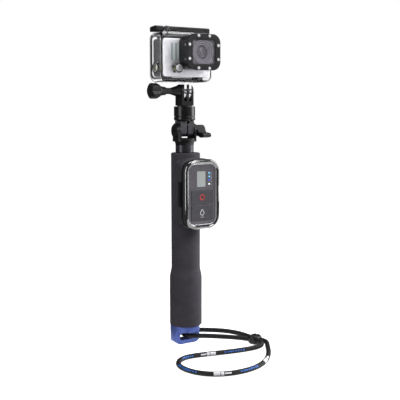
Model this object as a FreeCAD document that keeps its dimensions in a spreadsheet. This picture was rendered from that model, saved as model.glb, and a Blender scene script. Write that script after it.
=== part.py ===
import FreeCAD, Part
import math
import os
import re

import Sketcher

# Camera pole: a two-stage telescoping handle with a remote in a cradle, a tilting and turning
# head, a clear case with an action camera in it, and a hand lanyard.
# Millimetres, +Z up the pole, the camera looks along -Y, the origin is under the end tab.

os.makedirs("parts", exist_ok=True)
doc = FreeCAD.newDocument("CameraPole")
vector = FreeCAD.Vector

DIMENSIONS = {
    # fits
    "gap": 0.05,
    # handle
    "tube_outer": 13.5,
    "tube_bore": 12.5,
    "tube_low": 21.9,
    "tube_high": 217.5,
    "grip_centre": -2.0,
    "grip_low": 22.1,
    "grip_high": 219.5,
    "grip_wide": 18.4,
    "grip_slim": 16.35,
    "grip_wide_end": 76.4,
    "grip_slim_start": 90.5,
    "grip_edge": 1.4,
    # end cap
    "cap_radius": 17.0,
    "cap_high": 21.9,
    "cap_plug_high": 36.0,
    "cap_tab_half": 6.5,
    "cap_tab_high": 15.0,
    "cap_corner": 9.5,
    "cap_slot_low": 4.4,
    "cap_slot_high": 12.4,
    "cap_slot_half": 10.6,
    "cap_slot_corner": 3.6,
    # bushes and telescoping tubes
    "bush_low": 206.0,
    "bush_flange": 1.8,
    "mid_radius": 11.25,
    "mid_bore": 10.25,
    "mid_low": 60.0,
    "mid_high": 217.6,
    "mid_sleeve_low": 44.5,
    "mid_sleeve_high": 57.5,
    "core_radius": 6.0,
    "mid_bush_low": 206.0,
    "inner_radius": 9.0,
    "inner_bore": 7.8,
    "inner_low": 90.0,
    "inner_high": 226.5,
    "inner_sleeve_low": 74.5,
    "inner_sleeve_high": 87.5,
    "inner_core": 4.5,
    # neck and tilt joint
    "ferrule_radius": 10.2,
    "ferrule_low": 219.6,
    "ferrule_high": 228.0,
    "yoke_radius": 12.2,
    "yoke_floor": 235.0,
    "tilt_height": 244.0,
    "ear_inner": 8.7,
    "ear_radius": 8.4,
    "tilt_bolt_radius": 2.5,
    "tilt_cap_radius": 7.5,
    "tilt_cap_end": -13.4,
    "lever_start": 12.3,
    "lever_end": 24.3,
    "lever_hub": 6.5,
    "lever_reach": -19.5,
    "lever_drop": 236.4,
    "tongue_radius": 6.6,
    "tongue_high": 254.8,
    "tongue_slit": 0.8,
    "collar_radius": 7.9,
    "collar_high": 264.0,
    # swivel
    "post_radius": 4.4,
    "post_foot": 5.6,
    "post_low": 249.6,
    "ring_radius": 11.9,
    "ring_low": 255.0,
    "ring_groove": 259.9,
    "ring_high": 271.2,
    "washer_radius": 8.6,
    "adapter_low": 272.0,
    "adapter_half": 7.6,
    "prong_height": 288.0,
    "prong_radius": 7.5,
    "prong_slot": 276.6,
    "prong_gap_inner": 1.55,
    "prong_gap_outer": 4.65,
    # thumb screw
    "thumb_bolt_radius": 2.4,
    "knob_outer": 9.7,
    "knob_end": -43.8,
    # clear case
    "case_left": -37.2,
    "case_right": 28.6,
    "case_front": -13.0,
    "case_split": 11.6,
    "case_back": 14.8,
    "case_low": 298.0,
    "case_high": 351.6,
    "case_wall": 2.2,
    "case_corner": 7.0,
    "hinge_y": 15.6,
    "hinge_z": 299.6,
    "latch_y": 0.6,
    "latch_z": 356.4,
    # lens port
    "port_x": 5.5,
    "port_z": 329.5,
    "port_wide": 41.4,
    "port_tall": 38.8,
    "port_corner": 9.5,
    "port_front": -33.0,
    "port_glass_wide": 29.7,
    "port_glass_tall": 28.0,
    "port_glass_corner": 3.6,
    # camera
    "camera_left": -32.7,
    "camera_right": 26.3,
    "camera_front": -10.0,
    "camera_back": 11.2,
    "camera_low": 303.4,
    "camera_high": 344.6,
    # remote
    "remote_z": 175.5,
    "remote_wide": 45.0,
    "remote_tall": 76.7,
    "remote_corner": 14.0,
    "remote_front": -39.5,
    "remote_rim": -34.4,
    "face_front": -38.0,
    "remote_back": -26.5,
    "face_wide": 34.0,
    "face_tall": 64.6,
    "face_corner": 7.0,
    # lanyard
    "cord_radius": 2.75,
    "slider_x": 63.1,
    "slider_y": -50.8,
    "slider_z": 6.0,
    "slider_half": 6.5,
    "slider_wide": 15.0,
    "slider_tall": 11.6,
    "slider_bore": 3.25,
    "slider_pitch": 6.4,
}

# Corners of the lanyard's centre line: from inside the cord lock to the tab, through its slot,
# back through the lock, round the hand loop and into the lock again.
CORD_ROUTE = (
    (65.8, -49.1, 6.0),
    (63.1, -43.1, 6.0),
    (62.4, -33.2, 6.4),
    (57.4, -20.8, 7.2),
    (46.8, -7.8, 8.0),
    (31.8, 2.4, 8.6),
    (17.6, 9.8, 9.0),
    (8.0, 12.2, 9.1),
    (0.8, 8.2, 9.2),
    (-1.8, 0.2, 9.2),
    (0.2, -8.0, 9.1),
    (7.2, -12.6, 9.0),
    (17.2, -16.8, 8.5),
    (30.5, -24.2, 7.6),
    (45.0, -34.0, 6.7),
    (56.7, -44.5, 6.0),
    (63.7, -59.7, 5.9),
    (62.6, -65.8, 5.0),
    (56.8, -69.4, 3.8),
    (47.2, -69.6, 3.0),
    (29.5, -67.6, 2.8),
    (12.5, -64.4, 2.8),
    (-5.0, -60.2, 2.8),
    (-20.5, -57.0, 2.8),
    (-33.5, -56.6, 2.8),
    (-45.0, -62.5, 2.8),
    (-52.6, -73.4, 2.8),
    (-54.2, -87.5, 2.8),
    (-50.4, -102.5, 2.8),
    (-40.5, -115.6, 2.8),
    (-24.5, -124.2, 2.8),
    (-5.2, -126.4, 2.8),
    (14.6, -122.6, 2.8),
    (31.8, -112.8, 2.8),
    (46.2, -99.0, 2.8),
    (57.4, -84.6, 2.9),
    (65.0, -72.4, 3.3),
    (70.2, -64.4, 4.3),
    (70.4, -58.9, 5.3),
    (66.4, -50.4, 6.0),
)

sheet = doc.addObject("Spreadsheet::Sheet", "Dimensions")
for row, (alias, size) in enumerate(DIMENSIONS.items(), start=1):
    sheet.set("A%d" % row, str(size))
    sheet.setAlias("A%d" % row, alias)
for row, point in enumerate(CORD_ROUTE, start=1):
    for column, axis, size in zip("CDE", "xyz", point):
        sheet.set("%s%d" % (column, row), str(size))
        sheet.setAlias("%s%d" % (column, row), "cord_%s_%d" % (axis, row))
doc.recompute()

UPRIGHT = FreeCAD.Rotation(vector(1, 0, 0), 90)
SIDEWAYS = FreeCAD.Rotation(vector(0, 0, 1), -90)
LEVEL = FreeCAD.Rotation()
CYCLIC = FreeCAD.Rotation(vector(1, 1, 1), 120)
TURN_ROTATION = {"X": SIDEWAYS, "Y": LEVEL, "Z": UPRIGHT}
PRISM_ROTATION = {"X": CYCLIC, "Y": UPRIGHT, "Z": LEVEL}
NEAR = 1e-4


def bind(expression):
    """An expression in sheet names, with each name tied to the sheet."""
    return re.sub(r"\b[a-z][a-z_0-9]+\b(?!\()", lambda m: "Dimensions." + m.group(0), str(expression))


def number(expression):
    return float(sheet.evalExpression(bind(expression)))


def drive(item, **sizes):
    for key, expression in sizes.items():
        item.setExpression(key.replace("__", "."), bind(expression))


def place(item, at, rotation=LEVEL):
    item.Placement = FreeCAD.Placement(vector(*[number(a) for a in at]), rotation)
    drive(item, Placement__Base__x=at[0], Placement__Base__y=at[1], Placement__Base__z=at[2])


def outline_sketch(body, points):
    """A closed polygon on the body's XY plane, every corner driven by the sheet."""
    sketch = body.newObject("Sketcher::SketchObject", body.Name + "_sketch")
    plane = [f for f in body.Origin.OriginFeatures if f.Role == "XY_Plane"][0]
    sketch.AttachmentSupport = [(plane, "")]
    sketch.MapMode = "FlatFace"
    corners = [vector(number(p[0]), number(p[1]), 0) for p in points]
    for i, corner in enumerate(corners):
        sketch.addGeometry(Part.LineSegment(corner, corners[(i + 1) % len(corners)]), False)
    for i in range(len(corners)):
        sketch.addConstraint(Sketcher.Constraint("Coincident", i, 2, (i + 1) % len(corners), 1))
    for i, corner in enumerate(corners):
        for kind, size, expression in (
            ("DistanceX", corner.x, points[i][0]),
            ("DistanceY", corner.y, points[i][1]),
        ):
            index = sketch.addConstraint(Sketcher.Constraint(kind, -1, 1, i, 1, size))
            sketch.setExpression("Constraints[%d]" % index, bind(expression))
    return sketch


def soften(body, name, radius, wanted):
    """Rounds the edges of the body's last feature that wanted() picks."""
    doc.recompute()
    last = body.Tip
    if "Invalid" in last.State:
        raise RuntimeError("the feature before %s failed: %s" % (name, last.Name))
    edges = ["Edge%d" % (i + 1) for i, e in enumerate(last.Shape.Edges) if wanted(e)]
    if not edges:
        raise RuntimeError("no edge to round on " + name)
    fillet = body.newObject("PartDesign::Fillet", name)
    fillet.Base = (last, edges)
    drive(fillet, Radius=radius)
    return fillet


def spans(edge, low, high):
    box = edge.BoundBox
    return abs(box.ZMin - low) < NEAR and abs(box.ZMax - high) < NEAR


def prism(label, axis, outline, low, high, rims=()):
    """An outline pushed along an axis; a third entry in a corner rounds it, rims round an end."""
    body = doc.addObject("PartDesign::Body", label)
    sketch = outline_sketch(body, outline)
    pad = body.newObject("PartDesign::Pad", label + "_pad")
    pad.Profile = sketch
    length = "(%s) - (%s)" % (high, low)
    drive(pad, Length=length)
    reach = number(length)
    for i, corner in enumerate(outline):
        if len(corner) < 3:
            continue
        x, y = number(corner[0]), number(corner[1])

        def upright(edge):
            box = edge.BoundBox
            return spans(edge, 0, reach) and abs(box.XMin - x) + abs(box.YMin - y) < NEAR

        soften(body, "%s_corner_%d" % (label, i), corner[2], upright)
    for end, radius in rims:
        level = reach if end == "high" else 0.0
        soften(body, "%s_rim_%s" % (label, end), radius, lambda edge: spans(edge, level, level))
    start = {"X": (low, "0", "0"), "Y": ("0", high, "0"), "Z": ("0", "0", low)}[axis]
    place(body, start, PRISM_ROTATION[axis])
    return body


def slab(label, axis, centre, size, corner, low, high, rims=()):
    """A rounded rectangle pushed along an axis."""
    a, b = centre
    wide, tall = size
    outline = [
        ("(%s) %s (%s) / 2" % (a, i, wide), "(%s) %s (%s) / 2" % (b, j, tall), corner)
        for i, j in (("-", "-"), ("+", "-"), ("+", "+"), ("-", "+"))
    ]
    return prism(label, axis, outline, low, high, rims)


def turned(label, axis, profile, at=("0", "0", "0")):
    """A (radius, along) profile turned about an axis; a third entry rounds that edge."""
    body = doc.addObject("PartDesign::Body", label)
    sketch = outline_sketch(body, profile)
    turn = body.newObject("PartDesign::Revolution", label + "_turn")
    turn.Profile = sketch
    turn.ReferenceAxis = (sketch, ["V_Axis"])
    turn.Angle = 360
    for i, corner in enumerate(profile):
        if len(corner) < 3:
            continue
        radius, along = number(corner[0]), number(corner[1])

        def rim(edge):
            box = edge.BoundBox
            return (
                abs(box.YMin - along) + abs(box.YMax - along) < NEAR
                and abs(box.XMax - radius) < NEAR
            )

        soften(body, "%s_edge_%d" % (label, i), corner[2], rim)
    place(body, at, TURN_ROTATION[axis])
    return body


def ring(label, axis, inner, outer, low, high, at=("0", "0", "0")):
    profile = [(inner, low), (outer, low), (outer, high), (inner, high)]
    return turned(label, axis, profile, at)


def rod(label, axis, radius, low, high, at=("0", "0", "0")):
    return ring(label, axis, "0", radius, low, high, at)


def block(label, x, y, z):
    item = doc.addObject("Part::Box", label)
    drive(
        item,
        Length="(%s) - (%s)" % (x[1], x[0]),
        Width="(%s) - (%s)" % (y[1], y[0]),
        Height="(%s) - (%s)" % (z[1], z[0]),
    )
    place(item, (x[0], y[0], z[0]))
    return item


def cut(label, base, *tools):
    for i, tool in enumerate(tools):
        item = doc.addObject("Part::Cut", label if i == len(tools) - 1 else "%s_cut_%d" % (label, i))
        item.Base = base
        item.Tool = tool
        item.Refine = True
        base = item
    return base


def fuse(label, *items):
    item = doc.addObject("Part::MultiFuse", label)
    item.Shapes = list(items)
    item.Refine = True
    return item


def common(label, *items):
    item = doc.addObject("Part::MultiCommon", label)
    item.Shapes = list(items)
    item.Refine = True
    return item


def coil(label, axis, radius, wire, height, turns, at):
    """A spring wound up the axis from at."""
    path = doc.addObject("Part::Helix", label + "_path")
    drive(path, Radius=radius, Height=height, Pitch="(%s) / %s" % (height, turns))
    section = doc.addObject("Part::Circle", label + "_section")
    drive(section, Radius=wire)
    place(section, (radius, "0", "0"), FreeCAD.Rotation(vector(1, 0, 0), 90))
    sweep = doc.addObject("Part::Sweep", label)
    sweep.Sections = [section]
    sweep.Spine = (path, ["Edge1"])
    sweep.Solid = True
    sweep.Frenet = True
    rotation = {
        "X": FreeCAD.Rotation(vector(0, 1, 0), 90),
        "Y": FreeCAD.Rotation(vector(1, 0, 0), -90),
        "Z": LEVEL,
    }[axis]
    place(sweep, at, rotation)
    return sweep


# ---- handle ------------------------------------------------------------------------------------

ring("handle_tube", "Z", "tube_bore", "tube_outer", "tube_low", "tube_high")

grip_outer = turned(
    "foam_grip_outer",
    "Z",
    [
        ("0", "grip_low"),
        ("grip_wide", "grip_low", "grip_edge"),
        ("grip_wide", "grip_wide_end", "12"),
        ("grip_slim", "grip_slim_start", "12"),
        ("grip_slim", "grip_high", "grip_edge"),
        ("0", "grip_high"),
    ],
    ("0", "grip_centre", "0"),
)
grip_bore = rod("foam_grip_bore", "Z", "tube_outer", "0", "grip_high + 5")
cut("foam_grip", grip_outer, grip_bore)

cap_round = turned(
    "end_cap_round",
    "Z",
    [
        ("0", "0"),
        ("cap_radius", "0", "1.2"),
        ("cap_radius", "cap_high", "0.5"),
        ("tube_bore", "cap_high"),
        ("tube_bore", "cap_plug_high", "0.8"),
        ("0", "cap_plug_high"),
    ],
)
cap_shape = prism(
    "end_cap_shape",
    "Y",
    [
        ("-cap_radius - 1", "0", "cap_corner"),
        ("cap_radius + 1", "0", "cap_corner"),
        ("cap_radius + 1", "cap_plug_high"),
        ("-cap_radius - 1", "cap_plug_high"),
    ],
    "-cap_radius - 1",
    "cap_radius + 1",
)
cap_slot = slab(
    "end_cap_slot",
    "Y",
    ("0", "(cap_slot_low + cap_slot_high) / 2"),
    ("2 * cap_slot_half", "cap_slot_high - cap_slot_low"),
    "cap_slot_corner",
    "-cap_radius - 1",
    "cap_radius + 1",
)
flats = []
for side, near, far in (
    ("front", "-cap_radius - 1", "-cap_tab_half"),
    ("back", "cap_tab_half", "cap_radius + 1"),
):
    flats.append(
        slab(
            "end_cap_flat_" + side,
            "X",
            ("(%s + (%s)) / 2" % (near, far), "cap_tab_high / 2 - 2"),
            ("(%s) - (%s)" % (far, near), "cap_tab_high + 4"),
            "1.5",
            "-cap_radius - 1",
            "cap_radius + 1",
        )
    )
cap_body = common("end_cap_body", cap_round, cap_shape)
cut("end_cap", cap_body, cap_slot, *flats)

turned(
    "handle_bush",
    "Z",
    [
        ("mid_radius + gap", "bush_low"),
        ("tube_bore", "bush_low"),
        ("tube_bore", "tube_high"),
        ("tube_outer", "tube_high"),
        ("tube_outer", "tube_high + bush_flange", "0.6"),
        ("mid_radius + gap", "tube_high + bush_flange"),
    ],
)

# ---- telescope ---------------------------------------------------------------------------------

for stage, sleeve_radius, core, foot in (
    ("mid", "tube_bore", "core_radius", "9"),
    ("inner", "mid_bore", "inner_core", "7.6"),
):
    sleeve = ring(
        stage + "_lock_sleeve_ring",
        "Z",
        core + " + gap",
        sleeve_radius + " - gap",
        stage + "_sleeve_low",
        stage + "_sleeve_high",
    )
    slit = block(
        stage + "_lock_sleeve_slit",
        ("0", sleeve_radius),
        ("-1", "1"),
        (stage + "_sleeve_low - 1", stage + "_sleeve_high + 1"),
    )
    cut(stage + "_lock_sleeve", sleeve, slit)
    turned(
        stage + "_lock_spindle",
        "Z",
        [
            ("0", stage + "_sleeve_low - 2.5"),
            (foot, stage + "_sleeve_low - 2.5", "0.6"),
            (foot, stage + "_sleeve_low - 0.1"),
            (core, stage + "_sleeve_low - 0.1"),
            (core, stage + "_sleeve_high + 0.1"),
            (stage + "_radius", stage + "_sleeve_high + 0.1"),
            (stage + "_radius", stage + "_low"),
            (stage + "_bore", stage + "_low"),
            (stage + "_bore", stage + "_low + 8"),
            ("0", stage + "_low + 8"),
        ],
    )

ring("mid_tube", "Z", "mid_bore", "mid_radius", "mid_low", "mid_high")
turned(
    "mid_tube_bush",
    "Z",
    [
        ("inner_radius + gap", "mid_bush_low"),
        ("mid_bore", "mid_bush_low"),
        ("mid_bore", "mid_high"),
        ("mid_radius", "mid_high"),
        ("mid_radius", "mid_high + bush_flange", "0.6"),
        ("inner_radius + gap", "mid_high + bush_flange"),
    ],
)
ring("inner_tube", "Z", "inner_bore", "inner_radius", "inner_low", "inner_high")

# ---- neck, yoke and tilt joint -----------------------------------------------------------------

turned(
    "neck_ferrule",
    "Z",
    [
        ("inner_radius", "ferrule_low"),
        ("ferrule_radius", "ferrule_low", "0.5"),
        ("ferrule_radius", "ferrule_high"),
        ("0", "ferrule_high"),
        ("0", "inner_high"),
        ("inner_radius", "inner_high"),
    ],
)

yoke_bowl = turned(
    "yoke_bowl",
    "Z",
    [
        ("0", "ferrule_high"),
        ("ferrule_radius", "ferrule_high"),
        ("ferrule_radius + 0.6", "ferrule_high + 3", "2"),
        ("yoke_radius", "yoke_floor - 1.2", "1"),
        ("yoke_radius", "yoke_floor + 4"),
        ("0", "yoke_floor + 4"),
    ],
)
ears = []
for side, start, end in (
    ("left", "-yoke_radius + 0.2", "-ear_inner"),
    ("right", "ear_inner", "yoke_radius - 0.2"),
):
    disc = rod("yoke_disc_" + side, "X", "ear_radius", start, end, ("0", "0", "tilt_height"))
    foot = block(
        "yoke_foot_" + side,
        (start, end),
        ("-ear_radius", "ear_radius"),
        ("ferrule_high + 4", "tilt_height"),
    )
    ears.append(fuse("yoke_ear_" + side, disc, foot))
yoke_envelope = rod("yoke_envelope", "Z", "yoke_radius + 1.2", "ferrule_high", "tilt_height + 12")
yoke_ears = common("yoke_ears", fuse("yoke_ears_full", *ears), yoke_envelope)
yoke_solid = fuse("yoke_solid", yoke_bowl, yoke_ears)
yoke_mouth = prism(
    "yoke_mouth",
    "X",
    [
        ("-yoke_radius - 4", "yoke_floor + 0.6"),
        ("yoke_radius + 4", "yoke_floor + 0.6"),
        ("yoke_radius + 4", "tilt_height + 14"),
        ("-yoke_radius - 4", "tilt_height + 14"),
    ],
    "-ear_inner",
    "ear_inner",
)
yoke_bolt_hole = rod("yoke_bolt_hole", "X", "tilt_bolt_radius", "-20", "20", ("0", "0", "tilt_height"))
yoke_cap_seat = rod(
    "yoke_cap_seat",
    "X",
    "tilt_cap_radius + gap",
    "-yoke_radius - 2",
    "-yoke_radius + 0.2",
    ("0", "0", "tilt_height"),
)
cut("yoke", yoke_solid, yoke_mouth, yoke_bolt_hole, yoke_cap_seat)

tilt_bolt_solid = turned(
    "tilt_bolt_solid",
    "X",
    [
        ("0", "tilt_cap_end"),
        ("tilt_cap_radius", "tilt_cap_end", "0.7"),
        ("tilt_cap_radius", "-yoke_radius + 0.2"),
        ("tilt_bolt_radius", "-yoke_radius + 0.2"),
        ("tilt_bolt_radius", "lever_end - 1.5", "0.4"),
        ("0", "lever_end - 1.5"),
    ],
    ("0", "0", "tilt_height"),
)
tilt_socket = prism(
    "tilt_bolt_socket",
    "X",
    [
        ("2.2 * cos(%d)" % (60 * k), "tilt_height + 2.2 * sin(%d)" % (60 * k))
        for k in range(6)
    ],
    "tilt_cap_end - 1",
    "tilt_cap_end + 1",
)
cut("tilt_bolt", tilt_bolt_solid, tilt_socket)

lever_hub = turned(
    "tilt_lever_hub",
    "X",
    [
        ("0", "lever_start"),
        ("lever_hub", "lever_start", "0.5"),
        ("lever_hub", "lever_end", "1.2"),
        ("0", "lever_end"),
    ],
    ("0", "0", "tilt_height"),
)
lever_blade = prism(
    "tilt_lever_blade",
    "X",
    [
        ("0", "tilt_height + lever_hub"),
        ("-5.2", "tilt_height + 4"),
        ("-8.6", "tilt_height - 1.6", "3"),
        ("lever_reach + 1.6", "lever_drop + 5.2", "2"),
        ("lever_reach - 0.6", "lever_drop + 0.8", "2"),
        ("-11", "lever_drop - 0.2", "3"),
        ("-4.6", "tilt_height - 5"),
        ("0", "tilt_height - lever_hub"),
    ],
    "lever_start + 0.6",
    "lever_end - 0.4",
    [("high", "1"), ("low", "1")],
)
lever_bore = rod(
    "tilt_lever_bore",
    "X",
    "tilt_bolt_radius + gap",
    "lever_start - 1",
    "lever_end - 1.4",
    ("0", "0", "tilt_height"),
)
cut("tilt_lever", fuse("tilt_lever_solid", lever_hub, lever_blade), lever_bore)

tongue_block = prism(
    "tongue_block",
    "X",
    [
        ("-tongue_radius", "tilt_height - tongue_radius", "tongue_radius - 0.01"),
        ("tongue_radius", "tilt_height - tongue_radius", "tongue_radius - 0.01"),
        ("tongue_radius", "tongue_high"),
        ("-tongue_radius", "tongue_high"),
    ],
    "-ear_inner + gap",
    "ear_inner - gap",
)
tongue_collar = rod("tongue_collar", "Z", "collar_radius", "tongue_high - 1", "collar_high")
tongue_solid = fuse("tongue_solid", tongue_block, tongue_collar)
tongue_bore = rod("tongue_bore", "X", "tilt_bolt_radius + gap", "-15", "15", ("0", "0", "tilt_height"))
tongue_well = turned(
    "tongue_well",
    "Z",
    [
        ("0", "post_low - gap"),
        ("post_foot + gap", "post_low - gap"),
        ("post_foot + gap", "post_low + 2.5 + gap"),
        ("post_radius + gap", "post_low + 2.5 + gap"),
        ("post_radius + gap", "collar_high + 1"),
        ("0", "collar_high + 1"),
    ],
)
tongue_notch = slab(
    "tongue_notch",
    "Y",
    ("0", "tongue_high"),
    ("6", "5"),
    "2",
    "-tongue_radius - 5",
    "0",
)
notch_limit = block("tongue_notch_limit", ("-4", "4"), ("-20", "0"), ("tongue_high - 4", "tongue_high"))
notch = common("tongue_notch_open", tongue_notch, notch_limit)
tongue_hollow = cut("tongue_hollow", tongue_solid, tongue_bore, tongue_well, notch)
for side, near, far in (("left", "-12", "-tongue_slit"), ("right", "tongue_slit", "12")):
    half = block(
        "tongue_half_" + side + "_zone",
        (near, far),
        ("-12", "12"),
        ("tilt_height - 12", "collar_high + 5"),
    )
    common("tongue_half_" + side, tongue_hollow, half)

# ---- swivel, lock ring and three-prong adapter -------------------------------------------------

turned(
    "swivel_post",
    "Z",
    [
        ("0", "post_low"),
        ("post_foot", "post_low", "0.5"),
        ("post_foot", "post_low + 2.5"),
        ("post_radius", "post_low + 2.5"),
        ("post_radius", "adapter_low + 3.5", "0.4"),
        ("0", "adapter_low + 3.5"),
    ],
)
turned(
    "lock_ring",
    "Z",
    [
        ("collar_radius + gap", "ring_low"),
        ("ring_radius - 1.4", "ring_low"),
        ("ring_radius", "ring_low + 1.6", "0.6"),
        ("ring_radius", "ring_groove - 0.45", "0.2"),
        ("ring_radius - 0.7", "ring_groove - 0.3"),
        ("ring_radius - 0.7", "ring_groove + 0.3"),
        ("ring_radius", "ring_groove + 0.45", "0.2"),
        ("ring_radius", "ring_high", "0.8"),
        ("post_radius + gap", "ring_high"),
        ("post_radius + gap", "collar_high + 0.1"),
        ("collar_radius + gap", "collar_high + 0.1"),
    ],
)
ring("friction_washer", "Z", "post_radius", "washer_radius", "ring_high + 0.05", "adapter_low")

adapter_block = prism(
    "prong_adapter_block",
    "X",
    [
        ("-adapter_half", "adapter_low"),
        ("adapter_half", "adapter_low"),
        ("adapter_half", "prong_height + prong_radius", "prong_radius"),
        ("-adapter_half", "prong_height + prong_radius", "prong_radius"),
    ],
    "-adapter_half",
    "adapter_half",
    [("low", "0.5"), ("high", "0.5")],
)
adapter_gaps = [
    block(
        "prong_adapter_gap_" + side,
        (near, far),
        ("-20", "20"),
        ("prong_slot", "prong_height + 20"),
    )
    for side, near, far in (
        ("left", "-prong_gap_outer", "-prong_gap_inner"),
        ("right", "prong_gap_inner", "prong_gap_outer"),
    )
]
adapter_bolt = rod(
    "prong_adapter_bolt_hole", "X", "thumb_bolt_radius + gap", "-20", "20", ("0", "0", "prong_height")
)
adapter_post = rod(
    "prong_adapter_post_hole",
    "Z",
    "post_radius",
    "adapter_low - 1",
    "adapter_low + 3.5",
)
nut_pocket = prism(
    "prong_adapter_nut_pocket",
    "X",
    [("4.4 * cos(%d)" % (60 * k), "prong_height + 4.4 * sin(%d)" % (60 * k)) for k in range(6)],
    "adapter_half - 1.2",
    "adapter_half + 2",
)
cut("prong_adapter", adapter_block, *adapter_gaps, adapter_bolt, adapter_post, nut_pocket)

nut_hex = prism(
    "thumb_nut_hex",
    "X",
    [("4.4 * cos(%d)" % (60 * k), "prong_height + 4.4 * sin(%d)" % (60 * k)) for k in range(6)],
    "adapter_half - 1.2",
    "adapter_half + 1.4",
)
nut_dome = turned(
    "thumb_nut_dome",
    "X",
    [
        ("0", "adapter_half + 1"),
        ("3.4", "adapter_half + 1"),
        ("3.4", "adapter_half + 4.6", "2.6"),
        ("0", "adapter_half + 4.6"),
    ],
    ("0", "0", "prong_height"),
)
nut_bore = rod(
    "thumb_nut_bore",
    "X",
    "thumb_bolt_radius + gap",
    "0",
    "adapter_half + 3",
    ("0", "0", "prong_height"),
)
cut("thumb_nut", fuse("thumb_nut_solid", nut_hex, nut_dome), nut_bore)

rod(
    "thumb_bolt",
    "X",
    "thumb_bolt_radius",
    "knob_end + 8",
    "adapter_half + 2.8",
    ("0", "0", "prong_height"),
)
knob_neck = turned(
    "thumb_knob_neck",
    "X",
    [
        ("0", "knob_end"),
        ("knob_outer - 2.6", "knob_end", "0.8"),
        ("knob_outer", "knob_end + 2.2", "1.4"),
        ("knob_outer", "knob_end + 7", "3"),
        ("5.2", "knob_end + 13.2", "2"),
        ("4.6", "knob_end + 17.4"),
        ("4.6", "knob_end + 18.4"),
        ("3.5", "knob_end + 19"),
        ("3.4", "knob_end + 25", "7"),
        ("6.6", "-adapter_half - 0.1"),
        ("0", "-adapter_half - 0.1"),
    ],
    ("0", "0", "prong_height"),
)
lobes = []
for k in range(10):
    reach = "(knob_outer + 1.2)" if k % 2 == 0 else "(knob_outer - 3.2)"
    soft = "2.6" if k % 2 == 0 else "3"
    across = "%s * cos(%d)" % (reach, 36 * k)
    up = "prong_height + %s * sin(%d)" % (reach, 36 * k)
    lobes.append((across, up, soft))
knob_star = prism("thumb_knob_star", "X", lobes, "knob_end - 1", "knob_end + 16")
knob_shaft = rod(
    "thumb_knob_shaft", "X", "6.7", "knob_end + 12", "-adapter_half", ("0", "0", "prong_height")
)
knob_shape = fuse("thumb_knob_shape", knob_star, knob_shaft)
knob_solid = common("thumb_knob_solid", knob_neck, knob_shape)
knob_bore = rod(
    "thumb_knob_bore", "X", "thumb_bolt_radius", "knob_end + 8", "0", ("0", "0", "prong_height")
)
cut("thumb_knob", knob_solid, knob_bore)

# ---- clear case --------------------------------------------------------------------------------

case_centre_x = "(case_left + case_right) / 2"
case_centre_z = "(case_low + case_high) / 2"
shell_outer = slab(
    "case_front_outer",
    "Y",
    (case_centre_x, case_centre_z),
    ("case_right - case_left", "case_high - case_low"),
    "case_corner",
    "case_front",
    "case_split",
    [("high", "2.5")],
)
shell_inner = slab(
    "case_front_inner",
    "Y",
    (case_centre_x, case_centre_z),
    ("case_right - case_left - 2 * case_wall", "case_high - case_low - 2 * case_wall"),
    "case_corner - case_wall",
    "case_front + case_wall",
    "case_split + 1",
)
port_opening = slab(
    "case_front_port",
    "Y",
    ("port_x", "port_z"),
    ("port_wide - 7", "port_tall - 7"),
    "port_corner - 3.5",
    "case_front - 5",
    "case_front + 5",
)
port_seat = slab(
    "case_front_port_seat",
    "Y",
    ("port_x", "port_z"),
    ("port_wide - 1.8 + 2 * gap", "port_tall - 1.8 + 2 * gap"),
    "port_corner - 0.9 + gap",
    "case_front - 8",
    "case_front",
)
mode_boss = rod("case_front_mode_boss", "Y", "5.2", "-19", "case_front + 0.5", ("-17.9", "0", "312.6"))
side_boss = rod(
    "case_front_side_boss", "X", "6.6", "case_left - 1.4", "case_left + 0.5", ("0", "-2.6", "313")
)
shutter_boss = rod(
    "case_front_shutter_boss", "Z", "3.2", "case_high - 0.5", "case_high + 1.2", ("-23.4", "-1.5", "0")
)
mounting_prongs = []
for side, start, end in (
    ("left", "-prong_gap_outer + gap", "-prong_gap_inner - gap"),
    ("right", "prong_gap_inner + gap", "prong_gap_outer - gap"),
):
    mounting_prongs.append(
        prism(
            "case_front_prong_" + side,
            "X",
            [
                ("-prong_radius", "prong_height - prong_radius", "prong_radius - 0.01"),
                ("prong_radius", "prong_height - prong_radius", "prong_radius - 0.01"),
                ("prong_radius", "case_low + 0.5"),
                ("-prong_radius", "case_low + 0.5"),
            ],
            start,
            end,
        )
    )
hinge_knuckles = [
    rod("case_front_knuckle_" + side, "X", "2.4", start, end, ("0", "hinge_y", "hinge_z"))
    for side, start, end in (("left", "-28", "-20"), ("right", "12", "20"))
]
knuckle_arms = [
    block(
        "case_front_arm_" + side,
        (start, end),
        ("case_split - 3", "hinge_y"),
        ("case_low", "case_low + 1.6"),
    )
    for side, start, end in (("left", "-28", "-20"), ("right", "12", "20"))
]
latch_posts = [
    prism(
        "case_front_latch_post_" + side,
        "X",
        [
            ("latch_y - 2.6", "case_high - 0.5"),
            ("latch_y + 2.6", "case_high - 0.5"),
            ("latch_y + 1.8", "latch_z + 1.4", "1.2"),
            ("latch_y - 1.8", "latch_z + 1.4", "1.2"),
        ],
        start,
        end,
    )
    for side, start, end in (("left", "-27.4", "-26.2"), ("right", "-20.6", "-19.4"))
]
shell_solid = fuse(
    "case_front_solid",
    shell_outer,
    mode_boss,
    side_boss,
    shutter_boss,
    *mounting_prongs,
    *hinge_knuckles,
    *knuckle_arms,
    *latch_posts,
)
mode_bore = rod("case_front_mode_bore", "Y", "1.6 + gap", "-30", "0", ("-17.9", "0", "312.6"))
mode_well = rod("case_front_mode_well", "Y", "4.1", "-30", "-15.4", ("-17.9", "0", "312.6"))
side_bore = rod("case_front_side_bore", "X", "1.6 + gap", "-50", "-30", ("0", "-2.6", "313"))
side_well = rod("case_front_side_well", "X", "5", "-50", "case_left + 0.4", ("0", "-2.6", "313"))
shutter_bore = rod("case_front_shutter_bore", "Z", "1.4 + gap", "340", "360", ("-23.4", "-1.5", "0"))
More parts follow.
